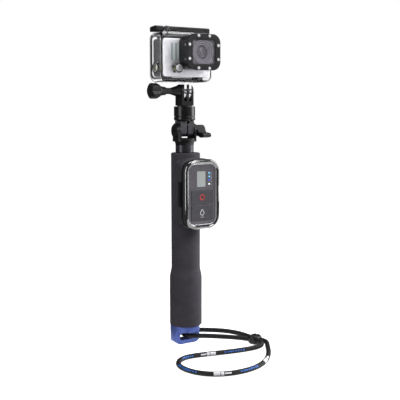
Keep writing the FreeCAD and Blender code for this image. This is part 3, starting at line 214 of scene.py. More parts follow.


# Each finish's lighter edge colour stands for wear and, in part, a painted highlight along edges.
FINISHES = {
    "foam": dict(
        colour=tone(62, 59, 66),
        shade=tone(69, 66, 73),
        rough=(0.72, 0.9),
        mottle=90.0,
        grain=1500.0,
        depth=0.09,
        edge=0.5,
        shine=0.35,
    ),
    "blue_anodised": dict(
        colour=tone(76, 96, 172),
        shade=tone(90, 112, 188),
        rough=(0.3, 0.42),
        metallic=0.45,
        mottle=120.0,
        grain=5200.0,
        depth=0.012,
        edge=0.45,
        edge_wear_and_highlight=tone(120, 138, 205),
    ),
    "aluminium_dark": dict(
        colour=tone(66, 64, 70),
        shade=tone(76, 74, 80),
        rough=(0.28, 0.4),
        metallic=0.8,
        stretch=(1.0, 1.0, 14.0),
        grain=900.0,
        edge_wear_and_highlight=tone(120, 118, 124),
    ),
    "black_plastic": dict(
        colour=tone(17, 16, 20),
        shade=tone(23, 22, 26),
        rough=(0.34, 0.46),
        grain=2600.0,
        depth=0.02,
        edge=0.45,
        edge_wear_and_highlight=tone(56, 54, 60),
        shine=0.3,
    ),
    "black_gloss": dict(
        colour=tone(9, 8, 11),
        shade=tone(14, 13, 16),
        rough=(0.24, 0.34),
        grain=2400.0,
        depth=0.006,
        edge=0.3,
        edge_wear_and_highlight=tone(52, 50, 56),
    ),
    "rim_gloss": dict(
        colour=tone(16, 15, 19),
        shade=tone(22, 21, 25),
        rough=(0.05, 0.1),
        grain=1800.0,
        depth=0.003,
        edge=0.5,
        coat=1.0,
        ior=2.3,
    ),
    "cradle_plastic": dict(
        colour=tone(56, 54, 60),
        shade=tone(64, 62, 68),
        rough=(0.42, 0.56),
        grain=2600.0,
        depth=0.02,
        edge=0.9,
        edge_wear_and_highlight=tone(120, 118, 124),
    ),
    "dark_grey_plastic": dict(
        colour=tone(58, 56, 62),
        shade=tone(66, 64, 70),
        rough=(0.4, 0.52),
        grain=3800.0,
        depth=0.02,
        edge_wear_and_highlight=tone(96, 94, 100),
    ),
    "clear_plastic": dict(
        colour=tone(251, 251, 252),
        shade=tone(248, 248, 249),
        rough=(0.01, 0.03),
        mottle=60.0,
        grain=900.0,
        depth=0.001,
        edge=0.35,
        clear=1.0,
        ior=1.2,
        shine=0.9,
    ),
    "port_glass": dict(
        colour=tone(214, 212, 218),
        shade=tone(220, 218, 223),
        rough=(0.02, 0.04),
        mottle=50.0,
        grain=700.0,
        depth=0.001,
        clear=0.93,
        ior=1.6,
    ),
    "lens_glass": dict(
        colour=tone(206, 192, 200),
        shade=tone(188, 184, 206),
        rough=(0.01, 0.03),
        mottle=110.0,
        grain=900.0,
        depth=0.001,
        clear=0.75,
        ior=1.7,
        coat=1.0,
    ),
    "steel": dict(
        colour=tone(198, 198, 202),
        shade=tone(178, 178, 184),
        rough=(0.18, 0.34),
        metallic=1.0,
        grain=4200.0,
        depth=0.008,
        edge_wear_and_highlight=tone(232, 232, 235),
    ),
    # The screw heads: near-white and barely metallic, a painted reflection of the white surround
    # on steel.
    "steel_painted_reflection": dict(
        colour=tone(240, 240, 242),
        shade=tone(228, 228, 232),
        rough=(0.3, 0.42),
        metallic=0.15,
        grain=5200.0,
        depth=0.008,
        edge_wear_and_highlight=tone(252, 252, 252),
    ),
    "silver_plastic": dict(
        colour=tone(226, 226, 229),
        shade=tone(214, 214, 218),
        rough=(0.26, 0.38),
        metallic=0.3,
        grain=6500.0,
        depth=0.006,
        edge=0.5,
        edge_wear_and_highlight=tone(236, 236, 238),
    ),
    "camera_grey": dict(
        colour=tone(46, 44, 50),
        shade=tone(40, 38, 44),
        rough=(0.45, 0.6),
        grain=2800.0,
        depth=0.03,
        edge=0.5,
        edge_wear_and_highlight=tone(112, 110, 116),
    ),
    "seal": dict(
        colour=tone(30, 29, 32),
        shade=tone(40, 39, 43),
        rough=(0.6, 0.75),
        grain=2200.0,
        depth=0.03,
    ),
    "seal_yellow": dict(
        colour=tone(196, 202, 28),
        shade=tone(166, 176, 24),
        rough=(0.3, 0.45),
        grain=1800.0,
        depth=0.02,
    ),
    # The mode button: white plastic lifted to pure white, partly its own colour, partly a painted
    # reflection.
    "white_plastic": dict(
        colour=tone(253, 253, 254),
        shade=tone(248, 248, 250),
        rough=(0.3, 0.42),
        grain=3600.0,
        depth=0.01,
        edge_wear_and_highlight=tone(254, 254, 254),
    ),
    "remote_face": dict(
        colour=tone(92, 89, 96),
        shade=tone(100, 97, 104),
        rough=(0.34, 0.44),
        grain=3600.0,
        depth=0.012,
        edge=0.35,
        coat=0.15,
        edge_wear_and_highlight=tone(96, 94, 100),
    ),
    "remote_key": dict(
        colour=tone(56, 54, 60),
        shade=tone(64, 62, 68),
        rough=(0.42, 0.55),
        grain=2600.0,
        depth=0.03,
        edge=0.4,
        edge_wear_and_highlight=tone(84, 82, 88),
    ),
    "board": dict(
        colour=tone(22, 74, 44),
        shade=tone(30, 92, 56),
        rough=(0.35, 0.5),
        mottle=700.0,
        edge_wear_and_highlight=tone(150, 140, 70),
    ),
    "battery": dict(
        colour=tone(62, 66, 74),
        shade=tone(78, 82, 90),
        rough=(0.35, 0.5),
        metallic=0.3,
        mottle=160.0,
    ),
    "frame_grey": dict(
        colour=tone(196, 194, 200),
        shade=tone(178, 176, 182),
        rough=(0.2, 0.3),
        metallic=0.5,
        grain=3000.0,
        depth=0.004,
    ),
    "mask_grey": dict(
        colour=tone(196, 194, 200),
        shade=tone(180, 178, 184),
        rough=(0.35, 0.5),
        mottle=40.0,
        grain=2600.0,
        depth=0.01,
    ),
    # A painted highlight: a pale strip standing for a softbox's reflection on the rim's right
    # side.
    "strip_pale": dict(
        colour=tone(206, 206, 208),
        shade=tone(188, 188, 192),
        rough=(0.25, 0.4),
        grain=3000.0,
        depth=0.006,
    ),
    "mark_white": dict(
        colour=tone(244, 244, 246), shade=tone(224, 224, 230), rough=(0.5, 0.7), mottle=900.0
    ),
    "mark_blue": dict(
        colour=tone(24, 92, 180), shade=tone(32, 112, 206), rough=(0.5, 0.7), mottle=900.0
    ),
    "mark_red": dict(
        colour=tone(206, 24, 30), shade=tone(186, 16, 24), rough=(0.35, 0.5), mottle=900.0
    ),
    "braid": dict(
        colour=tone(8, 8, 10),
        shade=tone(18, 17, 21),
        rough=(0.5, 0.7),
        mottle=1600.0,
        grain=6000.0,
        depth=0.05,
        edge=0.1,
        shine=0.3,
    ),
}

looks = {name: finish(name, **values) for name, values in FINISHES.items()}


def radial(look, centre, axis):
    """Distance of a surface point from a line along axis through centre, in metres."""
    flatten = [0.0 if letter == axis else 1.0 for letter in "XYZ"]
    offset = look.node(
        "VectorMath",
        {0: look.node("TexCoord").outputs["Object"], 1: centre},
        operation="SUBTRACT",
    ).outputs["Vector"]
    across = look.node(
        "VectorMath", {0: offset, 1: flatten}, operation="MULTIPLY"
    ).outputs["Vector"]
    return look.node("VectorMath", {0: across}, operation="LENGTH").outputs["Value"]


def along(look, axis):
    """The X, Y or Z place of a surface point, in metres."""
    split = look.node("SeparateXYZ", {"Vector": look.node("TexCoord").outputs["Object"]})
    return split.outputs[axis]


# The part of a turned ring's wave over which its colour changes.
TURNED_WAVE = (-0.4, 0.7)


def ringed(name, node, axis, pitch, dark, light, **values):
    """A turned surface whose rings, pitch millimetres apart, run from dark to light."""
    low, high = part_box(node)
    look = finish(name, colour=dark, **values)
    turns = look.node(
        "Math",
        {0: radial(look, (low + high) / 2, axis), 1: 2 * math.pi / (pitch * MM)},
        operation="MULTIPLY",
    ).outputs["Value"]
    wave = look.node("Math", {0: turns}, operation="COSINE").outputs["Value"]
    look.set(Base_Color=look.blend(look.remap(wave, *TURNED_WAVE), dark, light))
    return look


def banded(name, axis, pitch, dark, light, **values):
    """A pane with soft bars across axis, pitch millimetres apart, from dark to light."""
    look = finish(name, colour=dark, **values)
    turns = look.node(
        "Math", {0: along(look, axis), 1: 2 * math.pi / (pitch * MM)}, operation="MULTIPLY"
    ).outputs["Value"]
    wave = look.node("Math", {0: turns}, operation="SINE").outputs["Value"]
    look.set(Base_Color=look.blend(look.remap(wave, -1.0, 1.0), dark, light))
    return look


looks["lens_barrel"] = ringed(
    "lens_barrel",
    "camera_lens_barrel",
    "Y",
    pitch=2.1,
    dark=tone(104, 101, 108),
    light=tone(206, 203, 210),
    rough=(0.3, 0.45),
    depth=0.01,
)
# The status window's lighter bars are painted glints across the pane.
looks["status_window"] = banded(
    "status_window",
    "X",
    pitch=5.2,
    dark=tone(150, 160, 160),
    light=tone(222, 230, 228),
    rough=(0.12, 0.2),
    coat=0.3,
    depth=0.002,
)
looks["remote_screen"] = banded(
    "remote_screen",
    "Z",
    pitch=1.6,
    dark=tone(186, 192, 190),
    light=tone(196, 202, 200),
    rough=(0.25, 0.35),
    coat=0.2,
    depth=0.004,
)


LIGHT_GLOW = 0.5


def glowing(name, colour):
    """A small light that shines in its own colour."""
    look = finish(name, colour=colour, rough=(0.15, 0.25), mottle=1200.0, coat=0.6)
    look.set(Emission_Color=colour, Emission_Strength=LIGHT_GLOW)
    return look


looks["light_pale"] = glowing("light_pale", tone(110, 205, 250))
looks["light_blue"] = glowing("light_blue", tone(52, 92, 226))
looks["light_white"] = glowing("light_white", tone(250, 250, 252))

# The CAD nodes that wear each finish, as names with spaces between.
NODE_LOOKS = {
    "aluminium_dark": (
        "handle_tube mid_tube inner_tube neck_ferrule mid_lock_spindle inner_lock_spindle"
    ),
    "blue_anodised": "end_cap",
    "black_plastic": (
        "handle_bush mid_tube_bush mid_lock_sleeve inner_lock_sleeve yoke tilt_lever"
        " prong_adapter thumb_knob case_latch port_box cradle_clip remote_case port_plate"
    ),
    "black_gloss": "lock_ring tilt_bolt",
    "cradle_plastic": "cradle",
    "rim_gloss": "remote_bezel",
    "clear_plastic": "case_front case_door side_button",
    "port_glass": "port_glass",
    "lens_glass": "camera_lens_glass",
    "steel": "swivel_post thumb_bolt thumb_nut hinge_pin latch_pin clip_pin mode_spring",
    "steel_painted_reflection": "port_screws",
    "silver_plastic": "camera_front_plate camera_power_button",
    "white_plastic": "mode_button",
    "dark_grey_plastic": "shutter_button tongue_half_left tongue_half_right",
    "camera_grey": "camera_body",
    "lens_barrel": "camera_lens_barrel",
    "status_window": "camera_status_window",
    "seal": "friction_washer door_seal",
    "frame_grey": "port_seal",
    "remote_face": "remote_face",
    "remote_key": "remote_record_button remote_mode_button",
    "remote_screen": "remote_screen",
    "board": "remote_board",
    "battery": "remote_battery camera_battery",
}
for look_name, names in NODE_LOOKS.items():
    for node_name in names.split():
        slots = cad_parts[node_name].data.materials
        slots.clear()
        slots.append(looks[look_name].material)


# ---- mesh pieces -------------------------------------------------------------------------------


def piece(name, points, faces, look_names, body, slot, replaces=(), face_looks=None):
    """A mesh that rides on a body, wears the named looks and may replace nodes; slot is not used.
    """
    mesh = bpy.data.meshes.new(name)
    mesh.from_pydata([tuple(p) for p in points], [], faces)
    for look_name in look_names:
        mesh.materials.append(looks[look_name].material)
    for index, face in enumerate(mesh.polygons):
        face.use_smooth = True
        face.material_index = face_looks[index] if face_looks else 0
    mesh.validate()
    made = bpy.data.objects.new(name, mesh)
    bpy.context.scene.collection.objects.link(made)
    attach(made, body)
    if replaces:
        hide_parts(*replaces)
    return made


def loft(rings, closed=True):
    """Faces joining equal rings of points in turn; closed joins the last ring to the first."""
    around = len(rings[0])
    points = [p for ring in rings for p in ring]
    faces = []
    pairs = len(rings) if closed else len(rings) - 1
    for i in range(pairs):
        here, there = i * around, (i + 1) % len(rings) * around
        for j in range(around):
            k = (j + 1) % around
            faces.append((here + j, here + k, there + k, there + j))
    return points, faces


def capped(rings):
    """A loft from the first ring to the last, with a flat face on each end."""
    points, faces = loft(rings, closed=False)
    around = len(rings[0])
    faces.append(tuple(range(around - 1, -1, -1)))
    faces.append(tuple(range(len(points) - around, len(points))))
    return points, faces


def beside_axis(axis, centre, reach, angle, place):
    """The point at a distance and an angle from an X or Y axis, at a place along it."""
    one, two = reach * math.cos(angle), reach * math.sin(angle)
    offset = {"X": (place, one, two), "Y": (two, place, one)}
    return Vector(offset[axis]) + Vector(centre)


def turn(profile, axis, centre, steps=48):
    """A ring turned about an axis: profile is a closed outline of (radius, place along it)."""
    rings = []
    for radius, place in profile:
        angles = [2 * math.pi * j / steps for j in range(steps)]
        rings.append([beside_axis(axis, centre, radius, a, place) for a in angles])
    return loft(rings)


def round_section(radius, bore, steps=16):
    """The outline of an O-ring's section, for turn()."""
    middle = bore + radius
    return [
        (
            middle + radius * math.cos(2 * math.pi * i / steps),
            radius * math.sin(2 * math.pi * i / steps),
        )
        for i in range(steps)
    ]


def soft_rectangle(width, height, corner, steps=6):
    """The outline of a rectangle with round corners, about the origin."""
    outline = []
    for quarter, (x, z) in enumerate(((1, 1), (-1, 1), (-1, -1), (1, -1))):
        for i in range(steps + 1):
            a = math.pi / 2 * (quarter + i / steps)
            outline.append(
                (
                    x * (width / 2 - corner) + corner * math.cos(a),
                    z * (height / 2 - corner) + corner * math.sin(a),
                )
            )
    return outline


def scaled(outline, share):
    """An outline drawn in or out about the origin."""
    return [(x * share, z * share) for x, z in outline]


def facing(levels, centre):
    """Rings of points that face -Y: each level is an outline about the centre and its Y."""
    return [
        [Vector((centre[0] + x, y, centre[1] + z)) for x, z in outline] for outline, y in levels
    ]


def face_middle(low, high):
    """The X and Z of a box's middle."""
    return (low.x + high.x) / 2, (low.z + high.z) / 2


SOFT_EDGE = 0.35


def raised(outline, inner, centre, front, back, dome=0.12):
    """A low raised shape facing -Y, with a softened front edge; inner leaves a hole in it."""
    edge = (back - front) * SOFT_EDGE
    levels = [(outline, back), (outline, front + edge), (scaled(outline, 1 - dome), front)]
    if inner:
        return loft(facing(levels + [(inner, front), (inner, back)], centre))
    return capped(facing(levels, centre))


def joined(*shapes):
    """Several (points, faces) as one."""
    points, faces = [], []
    for more_points, more_faces in shapes:
        start = len(points)
        points += more_points
        faces += [tuple(start + i for i in face) for face in more_faces]
    return points, faces


# ---- lanyard -----------------------------------------------------------------------------------

CORD_ROUTE = (
    (0.0658, -0.0491, 0.0060),
    (0.0631, -0.0431, 0.0060),
    (0.0624, -0.0332, 0.0064),
    (0.0574, -0.0208, 0.0072),
    (0.0468, -0.0078, 0.0080),
    (0.0318, 0.0024, 0.0086),
    (0.0176, 0.0098, 0.0090),
    (0.0080, 0.0122, 0.0091),
    (0.0008, 0.0082, 0.0092),
    (-0.0018, 0.0002, 0.0092),
    (0.0002, -0.0080, 0.0091),
    (0.0072, -0.0126, 0.0090),
    (0.0172, -0.0168, 0.0085),
    (0.0305, -0.0242, 0.0076),
    (0.0450, -0.0340, 0.0067),
    (0.0567, -0.0445, 0.0060),
    (0.0637, -0.0597, 0.0059),
    (0.0626, -0.0658, 0.0050),
    (0.0568, -0.0694, 0.0038),
    (0.0472, -0.0696, 0.0030),
    (0.0295, -0.0676, 0.0028),
    (0.0125, -0.0644, 0.0028),
    (-0.0050, -0.0602, 0.0028),
    (-0.0205, -0.0570, 0.0028),
    (-0.0335, -0.0566, 0.0028),
    (-0.0450, -0.0625, 0.0028),
    (-0.0526, -0.0734, 0.0028),
    (-0.0542, -0.0875, 0.0028),
    (-0.0504, -0.1025, 0.0028),
    (-0.0405, -0.1156, 0.0028),
    (-0.0245, -0.1242, 0.0028),
    (-0.0052, -0.1264, 0.0028),
    (0.0146, -0.1226, 0.0028),
    (0.0318, -0.1128, 0.0028),
    (0.0462, -0.0990, 0.0028),
    (0.0574, -0.0846, 0.0029),
    (0.0650, -0.0724, 0.0033),
    (0.0702, -0.0644, 0.0043),
    (0.0704, -0.0589, 0.0053),
    (0.0664, -0.0504, 0.0060),
)
CORD_RADIUS = 2.75 * MM
LINE_STEPS = 24
BRAID_AROUND = 32
BRAID_STRANDS = 4
BRAID_PITCH = 3.6 * MM
BRAID_DEPTH = 0.16 * MM

# The cord's printing, in millimetres along it: a group of white dashes from each of
# WHITE_STARTS, and a row of blue ones within each of BLUE_SPANS. Each white dash has its start
# and end in its group and, like the blue ones, a half angle round the cord, in degrees.
PRINT_SIDE = Vector((-0.50, -0.80, 0.34)).normalized()
WHITE_STARTS = (266.5, 376.8, 443.0)
WHITE_DASHES = ((0.0, 6.2, 46.0), (6.9, 10.2, 46.0), (11.0, 17.4, 20.0))
BLUE_SPANS = ((232.0, 257.5), (292.8, 311.6), (333.2, 362.2), (405.0, 431.0))
BLUE_DASH = 2.1
BLUE_PITCH = 3.1
BLUE_HALF_ANGLE = 20.0

# Places in the lanyard's list of looks.
PLAIN_BRAID, WHITE_PRINT, BLUE_PRINT = range(3)


def nurbs_line(route, steps):
    """Points read along one smooth open NURBS spline through the route's control points."""
    curve = bpy.data.curves.new("route", "CURVE")
    curve.dimensions = "3D"
    curve.resolution_u = steps
    spline = curve.splines.new("NURBS")
    spline.points.add(len(route) - 1)
    for point, place in zip(spline.points, route):
        point.co = (*place, 1.0)
    spline.order_u = 3
    spline.use_endpoint_u = True
    guide = bpy.data.objects.new("route", curve)
    mesh = bpy.data.meshes.new_from_object(guide)
    line = [vertex.co.copy() for vertex in mesh.vertices]
    bpy.data.objects.remove(guide)
    bpy.data.curves.remove(curve)
    bpy.data.meshes.remove(mesh)
    return line


def print_dashes():
    """Each dash as its start, its end, the cosine of its half angle and its look."""
    dashes = []
    for start in WHITE_STARTS:
        for low, high, half_angle in WHITE_DASHES:
            spread = math.cos(math.radians(half_angle))
            dashes.append((start + low, start + high, spread, WHITE_PRINT))
    spread = math.cos(math.radians(BLUE_HALF_ANGLE))
    for start, end in BLUE_SPANS:
        place = start
        while place + BLUE_DASH <= end:
            dashes.append((place, place + BLUE_DASH, spread, BLUE_PRINT))
            place += BLUE_PITCH
    return dashes


def print_look(dashes, travelled, lean):
    """The look at a place along the cord where the surface leans so far to the printed side."""
    for start, end, spread, look in dashes:
        if start <= travelled / MM <= end and lean > spread:
            return look
    return PLAIN_BRAID


def braided(line):
    """A woven cord along a line, with its ends closed: its points, faces and faces' looks."""
    dashes = print_dashes()
    rings = []
    face_looks = []
    travelled = 0.0
    for i, point in enumerate(line):
        before = line[max(i - 1, 0)]
        after = line[min(i + 1, len(line) - 1)]
        travelled += (point - before).length
        ahead = (after - before).normalized()
        side = ahead.cross(Vector((0, 0, 1))).normalized()
        above = side.cross(ahead)
        printed = (PRINT_SIDE - ahead * PRINT_SIDE.dot(ahead)).normalized()
        step = 2 * math.pi * travelled / BRAID_PITCH
        ring = []
        for j in range(BRAID_AROUND):
            a = 2 * math.pi * j / BRAID_AROUND
            out = side * math.cos(a) + above * math.sin(a)
            woven = BRAID_STRANDS * a
            strand = 0.5 - 0.5 * math.cos(woven + step) * math.cos(woven - step)
            ring.append(point + out * (CORD_RADIUS - BRAID_DEPTH * strand))
            if i < len(line) - 1:
                face_looks.append(print_look(dashes, travelled, out.dot(printed)))
        rings.append(ring)
    return *capped(rings), face_looks + [PLAIN_BRAID, PLAIN_BRAID]


cord_line = nurbs_line(CORD_ROUTE, LINE_STEPS)
cord_points, cord_faces, cord_looks = braided(cord_line)
lanyard = piece(
    "lanyard_braid",
    cord_points,
    cord_faces,
    ["braid", "mark_white", "mark_blue"],
    "handle",
    "cord",
    ["lanyard_cord"],
    cord_looks,
)

LOCK_CENTRE = Vector((0.0631, -0.0508, 0.0060))
LOCK_TURN = math.radians(24.8)
LOCK_HALF = Vector((7.45, 6.4, 5.7)) * MM
LOCK_ROWS = 40
LOCK_AROUND = 56
LOCK_RIBS = 3
LOCK_RIB_DEPTH = 0.075
LOCK_NOTCH_DEPTH = 0.16
LOCK_NOTCH_WIDTH = 0.22

# Powers below 1 make the round bead squarer: along its sides, at its ends and across it.
LOCK_SIDE_POWER = 0.45
LOCK_END_POWER = 0.55
LOCK_SECTION_POWER = 0.6


def power(value, exponent):
    """A value's size raised to an exponent, with its sign kept."""
    return math.copysign(abs(value) ** exponent, value)


def cord_lock():
    """A squared, ribbed bead: wraps run round the cords' direction, a notch splits its top."""
    rings = []
    for i in range(LOCK_ROWS + 1):
        latitude = math.pi * (i / LOCK_ROWS - 0.5)
        reach = power(math.cos(latitude), LOCK_SIDE_POWER)
        y = power(math.sin(latitude), LOCK_END_POWER)
        rib = 1.0 - LOCK_RIB_DEPTH * (0.5 + 0.5 * math.cos(LOCK_RIBS * math.pi * y))
        ring = []
        for j in range(LOCK_AROUND):
            a = 2 * math.pi * j / LOCK_AROUND
            x = reach * power(math.cos(a), LOCK_SECTION_POWER)
            z = reach * power(math.sin(a), LOCK_SECTION_POWER)
            dent = math.exp(-((x / LOCK_NOTCH_WIDTH) ** 2)) * max(z, 0.0)
            notch = 1.0 - LOCK_NOTCH_DEPTH * dent
            across = x * LOCK_HALF.x * rib
            forward = y * LOCK_HALF.y
            up = z * LOCK_HALF.z * rib * notch
            turned_x = across * math.cos(LOCK_TURN) - forward * math.sin(LOCK_TURN)
            turned_y = across * math.sin(LOCK_TURN) + forward * math.cos(LOCK_TURN)
            ring.append(LOCK_CENTRE + Vector((turned_x, turned_y, up)))
        rings.append(ring)
    return capped(rings)


lock = piece("cord_lock", *cord_lock(), ["black_plastic"], "handle", "cord", ["lanyard_slider"])

# ---- foam grip ---------------------------------------------------------------------------------

GRIP_SLIM = 16.35 * MM
GRIP_WIDE_END = 76.4 * MM
GRIP_SLIM_START = 90.5 * MM
GRIP_EDGE = 1.4 * MM
GRIP_EDGE_STEPS = 6
GRIP_BORE = 13.6 * MM
GRIP_STEP = 0.8 * MM
GRIP_AROUND = 112
FOAM_CELL = 900.0
FOAM_FINE_CELL = 2.3
FOAM_FINE_SHARE = 0.5
FOAM_DEPTH = 0.09 * MM


def ease(share):
    """A share from 0 to 1 with a slow start and a slow end."""
    share = min(max(share, 0.0), 1.0)
    return share * share * (3 - 2 * share)


def grip_profile(low, high):
    """The sleeve's rings from end to end: middle in Y, radius, height and depth of its cells."""
    wide = (high.x - low.x) / 2
    middle = (low.y + high.y) / 2
    straight = high.z - low.z - 2 * GRIP_EDGE
    angles = [math.pi / 2 * i / GRIP_EDGE_STEPS for i in range(GRIP_EDGE_STEPS + 1)]
    rows = [(0.0, GRIP_BORE, low.z, 0.0)]
    for a in angles:
        radius = wide - GRIP_EDGE * (1 - math.sin(a))
        rows.append((middle, radius, low.z + GRIP_EDGE * (1 - math.cos(a)), FOAM_DEPTH))
    steps = int(straight / GRIP_STEP)
    for i in range(1, steps):
        z = low.z + GRIP_EDGE + straight * i / steps
        share = ease((z - GRIP_WIDE_END) / (GRIP_SLIM_START - GRIP_WIDE_END))
        rows.append((middle, wide + (GRIP_SLIM - wide) * share, z, FOAM_DEPTH))
    for a in angles:
        radius = GRIP_SLIM - GRIP_EDGE * (1 - math.cos(a))
        rows.append((middle, radius, high.z - GRIP_EDGE * (1 - math.sin(a)), FOAM_DEPTH))
    rows.append((0.0, GRIP_BORE, high.z, 0.0))
    return rows


def foam_grip():
    """A foam sleeve, fuller at the bottom, with round ends and an open-celled skin."""
    rings = []
    for middle, radius, z, depth in grip_profile(*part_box("foam_grip")):
        ring = []
        for j in range(GRIP_AROUND):
            a = 2 * math.pi * j / GRIP_AROUND
            out = Vector((math.cos(a), math.sin(a), 0.0))
            place = Vector((0.0, middle, z)) + out * radius
            coarse = noise.noise(place * FOAM_CELL)
            fine = noise.noise(place * FOAM_CELL * FOAM_FINE_CELL)
            cell = coarse + FOAM_FINE_SHARE * fine
            ring.append(place - out * depth * min(abs(cell), 1.0))
        rings.append(ring)
    return loft(rings)


grip = piece("grip_sleeve", *foam_grip(), ["foam"], "handle", "grip_rubber", ["foam_grip"])

# ---- remote details ----------------------------------------------------------------------------

# The section of each frame: width, height, corner radius and depth behind the rim's front, in
# millimetres.
RIM_SECTION = (
    (44.2, 75.9, 13.6, 5.1),
    (45.0, 76.7, 14.0, 4.5),
    (45.0, 76.7, 14.0, 3.2),
    (44.6, 76.3, 13.8, 2.2),
    (43.6, 75.3, 13.3, 1.2),
    (42.1, 73.8, 12.5, 0.45),
    (40.4, 72.1, 11.6, 0.05),
    (38.8, 70.5, 10.7, 0.1),
    (37.2, 68.9, 9.8, 0.6),
    (35.8, 67.0, 8.8, 1.4),
    (34.4, 65.0, 7.4, 2.2),
    (34.4, 65.0, 7.4, 5.1),
)
FRAME_SECTION = (
    (36.0, 67.2, 8.9, 2.6),
    (36.0, 67.2, 8.9, 1.2),
    (34.6, 65.2, 7.5, 1.9),
    (34.6, 65.2, 7.5, 2.6),
)
HOOP_CORNER_STEPS = 12
STRIP_SIZE = (1.6 * MM, 18.6 * MM)
STRIP_CORNER = 0.6 * MM
STRIP_INSET = 2.1 * MM
STRIP_FRONT = 0.02 * MM
STRIP_BACK = 1.2 * MM


def hoop(section, centre, front):
    """A frame facing -Y, lofted round its section; front is the Y where the depths start."""
    levels = []
    for width, height, corner, depth in section:
        outline = soft_rectangle(width * MM, height * MM, corner * MM, HOOP_CORNER_STEPS)
        levels.append((outline, front + depth * MM))
    return loft(facing(levels, centre))


low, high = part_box("remote_bezel")
rim_centre = face_middle(low, high)
rim = hoop(RIM_SECTION, rim_centre, low.y)
piece("remote_rim", *rim, ["rim_gloss"], "handle", "bezel_clear", ["remote_bezel"])
frame_line = hoop(FRAME_SECTION, rim_centre, low.y)
piece("face_frame", *frame_line, ["frame_grey"], "handle", "bezel_clear")
# A pale strip on the rim's right side: a painted reflection of a softbox.
strip = raised(
    soft_rectangle(*STRIP_SIZE, STRIP_CORNER),
    None,
    (high.x - STRIP_INSET, rim_centre[1]),
    low.y + STRIP_FRONT,
    low.y + STRIP_BACK,
    dome=0.05,
)
piece("rim_painted_highlight", *strip, ["strip_pale"], "handle", "bezel_clear")

# Each light's drop from the top of the row, in millimetres, and its look.
LIGHTS = (
    (1.1, "light_pale"),
    (4.9, "light_pale"),
    (8.7, "light_blue"),
    (13.1, "light_white"),
)
LIGHT_SIZE = (2.1 * MM, 1.9 * MM)
LIGHT_CORNER = 0.5 * MM
TICKS = 6
TICK_SIZE = (1.3 * MM, 0.45 * MM)
TICK_CORNER = 0.2 * MM
TICK_PITCH = 2.5 * MM
TICK_DROP = 1.0 * MM
TICK_GAP = 1.5 * MM
TICK_FRONT = 0.95 * MM
TICK_BACK = 0.7 * MM

low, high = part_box("remote_lights")
for i, (drop, look_name) in enumerate(LIGHTS, start=1):
    outline = soft_rectangle(*LIGHT_SIZE, LIGHT_CORNER)
    centre = ((low.x + high.x) / 2, high.z - drop * MM)
    points, faces = raised(outline, None, centre, low.y, high.y)
    replaced = ["remote_lights"] if i == 1 else []
    piece("status_light_%d" % i, points, faces, [look_name], "handle", "lights", replaced)

ticks = [
    raised(
        soft_rectangle(*TICK_SIZE, TICK_CORNER),
        None,
        (high.x + TICK_GAP, high.z - (TICK_DROP + i * TICK_PITCH)),
        high.y - TICK_FRONT,
        high.y - TICK_BACK,
    )
    for i in range(TICKS)
]
piece("light_ticks", *joined(*ticks), ["mark_white"], "handle", "remote_face")

MARK_HEIGHT = 0.12 * MM
RECORD_OUTER = 3.3 * MM
RECORD_INNER = 2.1 * MM
SELECT_OUTER = 2.7 * MM
SELECT_INNER = 1.95 * MM
DROP_LIFT = 0.55
DROP_POWER = 7
BAR_SIZE = (4.4 * MM, 0.45 * MM)
BAR_CORNER = 0.2 * MM
BAR_DROP = 4.4 * MM


def circle(radius, steps=40):
    """A round outline about the origin."""
    return [
        (radius * math.cos(2 * math.pi * i / steps), radius * math.sin(2 * math.pi * i / steps))
        for i in range(steps)
    ]


def drop_shape(radius):
    """A round outline drawn up to a soft point at its top."""
    outline = []
    for x, z in circle(radius):
        lift = DROP_LIFT * radius * max(z / radius, 0.0) ** DROP_POWER
        outline.append((x, z + lift))
    return outline


def mark(outline, inner, centre, surface, dome=0.04):
    """A printed mark on a key whose front is at the Y of surface."""
    return raised(outline, inner, centre, surface - MARK_HEIGHT, surface + MARK_HEIGHT, dome)


low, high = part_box("remote_record_button")
record_ring = mark(
    circle(RECORD_OUTER), circle(RECORD_INNER), face_middle(low, high), low.y, dome=0.03
)
piece("record_mark", *record_ring, ["mark_red"], "record_key", "remote_face")

low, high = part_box("remote_mode_button")
key_x, key_z = face_middle(low, high)
select_marks = joined(
    mark(drop_shape(SELECT_OUTER), drop_shape(SELECT_INNER), (key_x, key_z), low.y),
    mark(soft_rectangle(*BAR_SIZE, BAR_CORNER), None, (key_x, key_z - BAR_DROP), low.y),
)
piece("select_mark", *select_marks, ["mark_white"], "select_key", "remote_face")

# ---- seals, clips and pins of the clear case ---------------------------------------------------

FRONT_SEAL_SECTION = 0.55 * MM
FRONT_SEAL_BORE = 1.9 * MM
FRONT_SEAL_DEPTH = 6.2 * MM
SIDE_SEAL_SECTION = 0.6 * MM
SIDE_SEAL_BORE = 2.1 * MM
SIDE_SEAL_INSET = 0.9 * MM

low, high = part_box("mode_button")
front_seal = turn(
    round_section(FRONT_SEAL_SECTION, FRONT_SEAL_BORE),
    "Y",
    ((low.x + high.x) / 2, low.y + FRONT_SEAL_DEPTH, (low.z + high.z) / 2),
)
piece("front_button_seal", *front_seal, ["seal_yellow"], "case", "seal")
low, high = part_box("side_button")
side_seal = turn(
    round_section(SIDE_SEAL_SECTION, SIDE_SEAL_BORE),
    "X",
    (high.x - SIDE_SEAL_INSET, (low.y + high.y) / 2, (low.z + high.z) / 2),
)
piece("side_button_seal", *side_seal, ["seal_yellow"], "case", "seal")

# The rings of each button's spring clip: radius, bore, start and end from the button's outer
# end, in millimetres.
FRONT_CLIP = ((5.3, 4.2, 6.6, 7.4), (3.7, 3.1, 6.2, 7.0))
SIDE_CLIP = ((6.0, 4.7, 1.6, 2.3), (3.9, 3.1, 3.2, 3.9))
CLIP_LOBES = 5
CLIP_LOBE_DEPTH = 0.12


